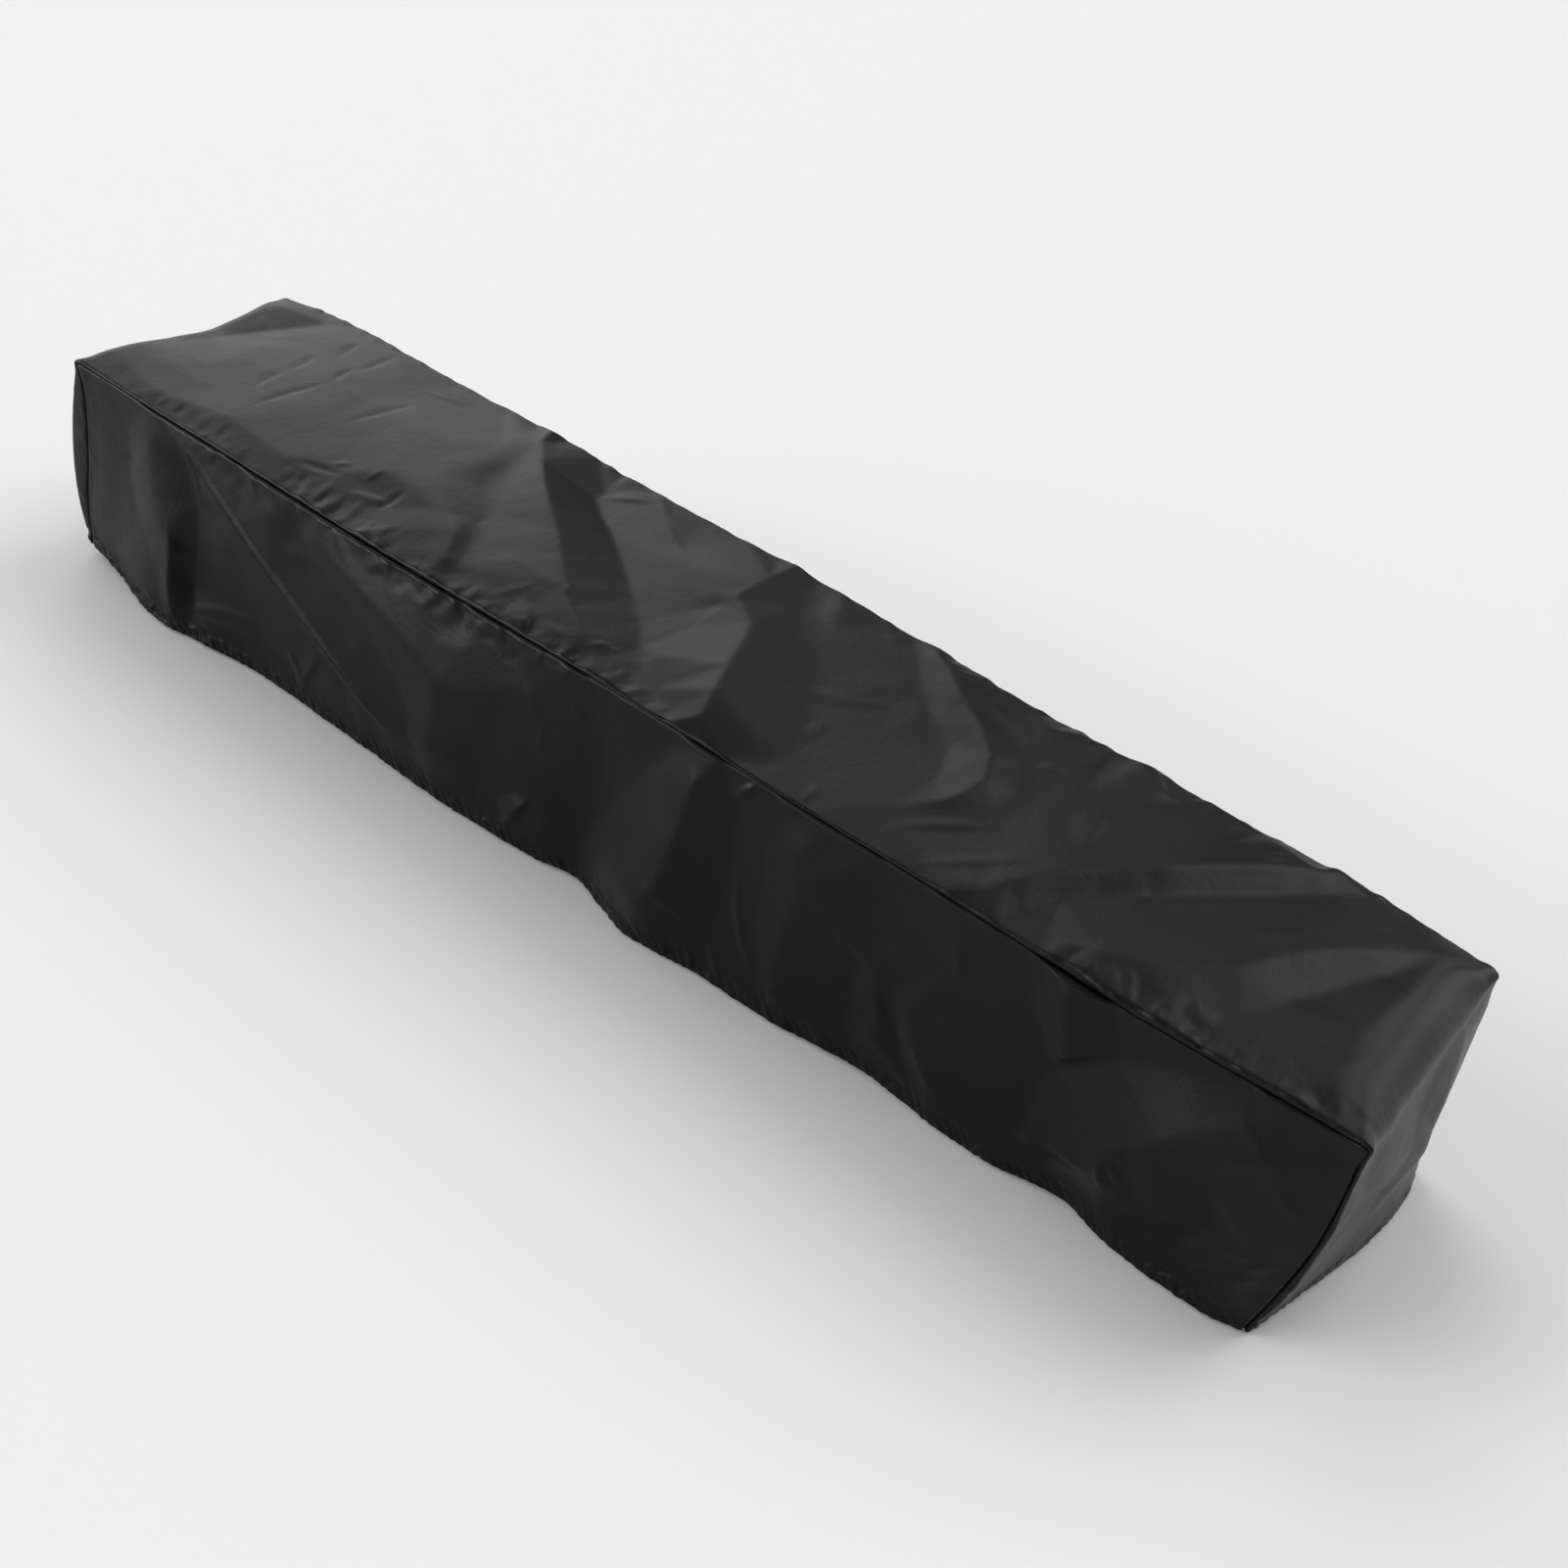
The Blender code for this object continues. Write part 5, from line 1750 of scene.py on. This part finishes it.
@dataclass(frozen=True)
class BlackTaffeta:
    """Nylon taffeta, woven close of flat filament and dyed black.

    The smooth filaments give it a satin sheen that grows towards grazing views, and keep its
    own colour very dark, so that each facet of a fold shows as a lighter or darker grey.
    """

    name: str = "black_nylon_taffeta"
    colour: str = "#0c0c0d"
    worn_colour: str = "#111112"
    roughness: float = 0.36
    roughness_spread: float = 0.03
    specular: float = 0.135
    thread_mm: float = 1.1
    slub_mm: tuple[float, float] = (70.0, 2.4)
    slub_detail: float = 2.0
    crinkle_mm: float = 17.0
    crinkle_width: float = 0.12
    crinkle_bend: tuple[float, float, float] = (0.02, 0.02, 0.0)
    crinkle_bends: float = 3.0
    weave_bump: tuple[float, float] = (0.10, 0.0002)
    slub_bump: tuple[float, float] = (0.12, 0.0006)
    crinkle_bump: tuple[float, float] = (0.05, 0.0012)
    rubbing_scale: float = 22.0
    rubbing_detail: float = 5.0
    rubbing_range: tuple[float, float] = (0.3, 0.7)

    def material(self) -> bpy.types.Material:
        """Build the material, with its weave, slubs, crinkles and faint rubbing."""
        made = bpy.data.materials.new(self.name)
        made.use_nodes = True
        tree = made.node_tree
        shader = tree.nodes["Principled BSDF"]
        place = add_node(tree, "UVMap", {"uv_map": "cut_cloth"}).outputs["UV"]
        # Threads of 0.2 mm are too fine to show, so they are drawn thread_mm apart
        warp, weft = (add_node(tree, "TexWave", {"bands_direction": way}, Vector=place,
                               Scale=WAVE_PERIOD / (self.thread_mm / 1000)) for way in "XY")
        weave = add_node(tree, "Math", {"operation": "MULTIPLY"},
                         Value_0=warp.outputs["Fac"], Value_1=weft.outputs["Fac"])
        streaks = []
        for along, over in (self.slub_mm, self.slub_mm[::-1]):
            slub_place = add_node(tree, "Mapping", None, Vector=place,
                                  Scale=(1000 / along, 1000 / over, 1))
            streaks.append(add_node(tree, "TexNoise", None, Vector=slub_place.outputs["Vector"],
                                    Scale=1.0, Detail=self.slub_detail))
        slubs = add_node(tree, "Math", {"operation": "ADD"},
                         Value_0=streaks[0].outputs["Fac"], Value_1=streaks[1].outputs["Fac"])
        bent = add_node(tree, "TexNoise", None, Vector=place,
                        Scale=1000 / (3 * self.crinkle_mm), Detail=self.crinkle_bends)
        moved = add_node(tree, "VectorMath", {"operation": "MULTIPLY_ADD"},
                         Vector_0=bent.outputs["Color"], Vector_1=self.crinkle_bend,
                         Vector_2=place)
        crinkle = add_node(tree, "TexVoronoi", {"feature": "DISTANCE_TO_EDGE"},
                           Vector=moved.outputs["Vector"], Scale=1000 / self.crinkle_mm)
        edges = add_node(tree, "MapRange", None, Value=crinkle.outputs["Distance"],
                         From_Min=0.0, From_Max=self.crinkle_width, To_Min=0.0, To_Max=1.0)
        bumps = ((self.weave_bump, weave.outputs["Value"]), (self.slub_bump, slubs.outputs["Value"]),
                 (self.crinkle_bump, edges.outputs["Result"]))
        under = {}
        for (strength, distance), height in bumps:
            bump = add_node(tree, "Bump", None, Strength=strength, Distance=distance,
                            Height=height, **under)
            under = {"Normal": bump.outputs["Normal"]}
        tone = add_node(tree, "TexNoise", None, Vector=place, Scale=self.rubbing_scale,
                        Detail=self.rubbing_detail)
        colour = add_node(tree, "Mix", {"data_type": "RGBA"}, Factor_0=tone.outputs["Fac"],
                          A_6=to_linear(self.colour), B_7=to_linear(self.worn_colour))
        rough = add_node(tree, "MapRange", None, Value=tone.outputs["Fac"],
                         From_Min=self.rubbing_range[0], From_Max=self.rubbing_range[1],
                         To_Min=self.roughness - self.roughness_spread,
                         To_Max=self.roughness + self.roughness_spread)
        tree.links.new(colour.outputs[2], shader.inputs["Base Color"])
        tree.links.new(rough.outputs["Result"], shader.inputs["Roughness"])
        tree.links.new(under["Normal"], shader.inputs["Normal"])
        shader.inputs["Specular IOR Level"].default_value = self.specular
        made.diffuse_color = to_linear(self.colour)
        return made


@dataclass
class Cover:
    """The whole cover: the strip and the two long walls that hang from its seams."""

    finish: BlackTaffeta = field(default_factory=BlackTaffeta)
    strip: TopStrip = field(default_factory=lambda: TopStrip(
        Sheet("taffeta_top_and_ends", flat=(0.27, 1.78))))
    front: LongWall = field(default_factory=lambda: LongWall(
        Sheet("taffeta_front", flat=(1.37, 0.215)), -1.0, 0, "hem_front_y", "hem_front_z",
        FRONT_PUCKERS, 41, panel_folds=FRONT_FOLDS, crumples=FRONT_CRUMPLES))
    back: LongWall = field(default_factory=lambda: LongWall(
        Sheet("taffeta_back", flat=(1.37, 0.22)), 1.0, -1, "hem_back_y", "hem_back_z",
        BACK_PUCKERS, 71, folds=BACK_FOLDS))

    def inward(self, seam: Array, normals: Array, corner: int) -> Array:
        """The way into one long seam, between the faces of the strip and of a wall.

        Args:
            seam: The strip's normals at the seam.
            normals: The wall's normals.
            corner: The strip's row at which the corner of the seams is.

        Returns:
            The way at each of the strip's rows.
        """
        top = recounted(normals[0], len(seam) - 2 * corner)
        beside = np.concatenate([normals[corner:0:-1, 0], top, normals[1:corner + 1, -1]])
        way = -(seam + beside)
        return way / np.linalg.norm(way, axis=-1, keepdims=True)

    def build(self) -> list[bpy.types.Object]:
        """Build and dress the three sheets.

        Returns:
            The strip, the front wall and the back wall.
        """
        corner = self.strip.stations.corner()
        base = strip_base(self.strip.stations)
        strip_normals = normals_of(base, 1.0)
        ways = []
        pieces = []
        for wall in (self.front, self.back):
            wall_base = wall.base(base, corner)
            normals = normals_of(wall_base, -wall.outward)
            way = self.inward(strip_normals[:, wall.edge], normals, corner)
            ways.append(way)
            top_way = recounted(way[corner:len(way) - corner], wall_base.shape[1])
            inwards = (way[:corner + 1][::-1], top_way, way[len(way) - corner - 1:])
            outer, cut = wall.dressed(wall_base, inwards)
            pieces.append(wall.sheet.body(outer, cut, -wall.outward))
        outer, cut = self.strip.dressed(base, tuple(ways))
        pieces.insert(0, self.strip.sheet.body(outer, cut, 1.0))
        cloth = self.finish.material()
        for piece in pieces:
            piece.data.materials.append(cloth)
        return pieces


class Lamp(NamedTuple):
    """A large soft lamp far off: where it is, how wide its even core and its fading edge reach,
    all in degrees, and how bright it is."""

    azimuth: float
    elevation: float
    core: float
    reach: float
    strength: float


@dataclass
class Studio:
    """A plain pale floor in a dim surround, with large soft lamps to the left, in front and
    behind to the right."""

    eye: tuple[float, float, float] = EYE
    azimuth: float = 28.8
    elevation: float = 36.6
    roll: float = -13.21
    lens: float = 42.0
    sensor: float = 36.0
    clip_start: float = 0.01
    floor_height: float = -0.2135
    floor_half: float = 14.0
    floor_colour: str = "#dadada"
    floor_roughness: float = 0.9
    floor_specular: float = 0.1
    glow: float = 0.155
    lamps: tuple[Lamp, ...] = (
        Lamp(152, 31, 12, 37, 2.3),
        Lamp(220, 8, 5, 37, 7.8),
        Lamp(65, 45, 8, 30, 3.0),
        Lamp(56, 10, 8, 28, 1.4),
        Lamp(90, 75, 20, 60, 0.5),
    )

    def camera(self) -> bpy.types.Object:
        """Set the camera where the photograph was taken from."""
        data = bpy.data.cameras.new("view")
        data.lens = self.lens
        data.sensor_width = self.sensor
        data.clip_start = self.clip_start
        around, up = math.radians(self.azimuth), math.radians(self.elevation)
        back = Vector((math.sin(around) * math.cos(up), -math.cos(around) * math.cos(up),
                       math.sin(up)))
        level = (-back).cross(Vector((0, 0, 1))).normalized()
        turn = math.radians(self.roll)
        right = level * math.cos(turn) + (-back).cross(level) * math.sin(turn)
        over = right.cross(-back)
        item = bpy.data.objects.new("view", data)
        item.matrix_world = Matrix.Translation(self.eye) @ Matrix(
            (right, over, back)).transposed().to_4x4()
        bpy.context.scene.collection.objects.link(item)
        bpy.context.scene.camera = item
        return item

    def floor(self) -> bpy.types.Object:
        """Lay the plain pale floor."""
        mesh = bpy.data.meshes.new("floor")
        half = self.floor_half
        corners = [(-half, -half, 0), (half, -half, 0), (half, half, 0), (-half, half, 0)]
        mesh.from_pydata(corners, [], [(0, 1, 2, 3)])
        item = bpy.data.objects.new("floor", mesh)
        item.location.z = self.floor_height
        bpy.context.scene.collection.objects.link(item)
        paint = bpy.data.materials.new("matt_white_board")
        paint.use_nodes = True
        shader = paint.node_tree.nodes["Principled BSDF"]
        shader.inputs["Base Color"].default_value = to_linear(self.floor_colour)
        shader.inputs["Roughness"].default_value = self.floor_roughness
        shader.inputs["Specular IOR Level"].default_value = self.floor_specular
        mesh.materials.append(paint)
        return item

    def surround(self) -> None:
        """Light the surround with its even glow and its soft lamps."""
        world = bpy.data.worlds.new("soft_surround")
        world.use_nodes = True
        tree = world.node_tree
        tree.nodes.clear()
        way = add_node(tree, "TexCoord").outputs["Generated"]
        total: float | bpy.types.NodeSocket = self.glow
        for lamp in self.lamps:
            around, up = math.radians(lamp.azimuth), math.radians(lamp.elevation)
            axis = (math.cos(up) * math.cos(around), math.cos(up) * math.sin(around), math.sin(up))
            facing = add_node(tree, "VectorMath", {"operation": "DOT_PRODUCT"}, Vector_0=way,
                              Vector_1=axis)
            level = add_node(tree, "MapRange", {"interpolation_type": "SMOOTHSTEP"},
                             Value=facing.outputs["Value"],
                             From_Min=math.cos(math.radians(lamp.reach)),
                             From_Max=math.cos(math.radians(lamp.core)),
                             To_Min=0.0, To_Max=lamp.strength)
            total = add_node(tree, "Math", {"operation": "ADD"}, Value_0=total,
                             Value_1=level.outputs["Result"]).outputs["Value"]
        shade = add_node(tree, "Background", None, Color=(1, 1, 1, 1), Strength=total)
        add_node(tree, "OutputWorld", None, Surface=shade.outputs["Background"])
        bpy.context.scene.world = world

    def build(self) -> None:
        """Build the whole studio and set plain picture colours."""
        self.camera()
        self.floor()
        self.surround()
        bpy.context.scene.view_settings.view_transform = "Standard"


def main() -> None:
    """Build the cover and its studio, and report each piece."""
    logging.basicConfig(level=logging.INFO, format="%(name)s: %(message)s")
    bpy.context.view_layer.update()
    Studio().build()
    cover = Cover()
    pieces = cover.build()
    nodes = ("top_and_ends", "front_panel", "back_panel")
    sheets = (cover.strip.sheet, cover.front.sheet, cover.back.sheet)
    for piece, node, sheet in zip(pieces, nodes, sheets):
        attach(piece, "root")
        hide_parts(node)
        count = len(piece.data.loop_triangles) or sum(
            len(face.vertices) - 2 for face in piece.data.polygons)
        log.info("%s: %d triangles", piece.name, count)
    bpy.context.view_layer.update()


if __name__ == "__main__":
    main()
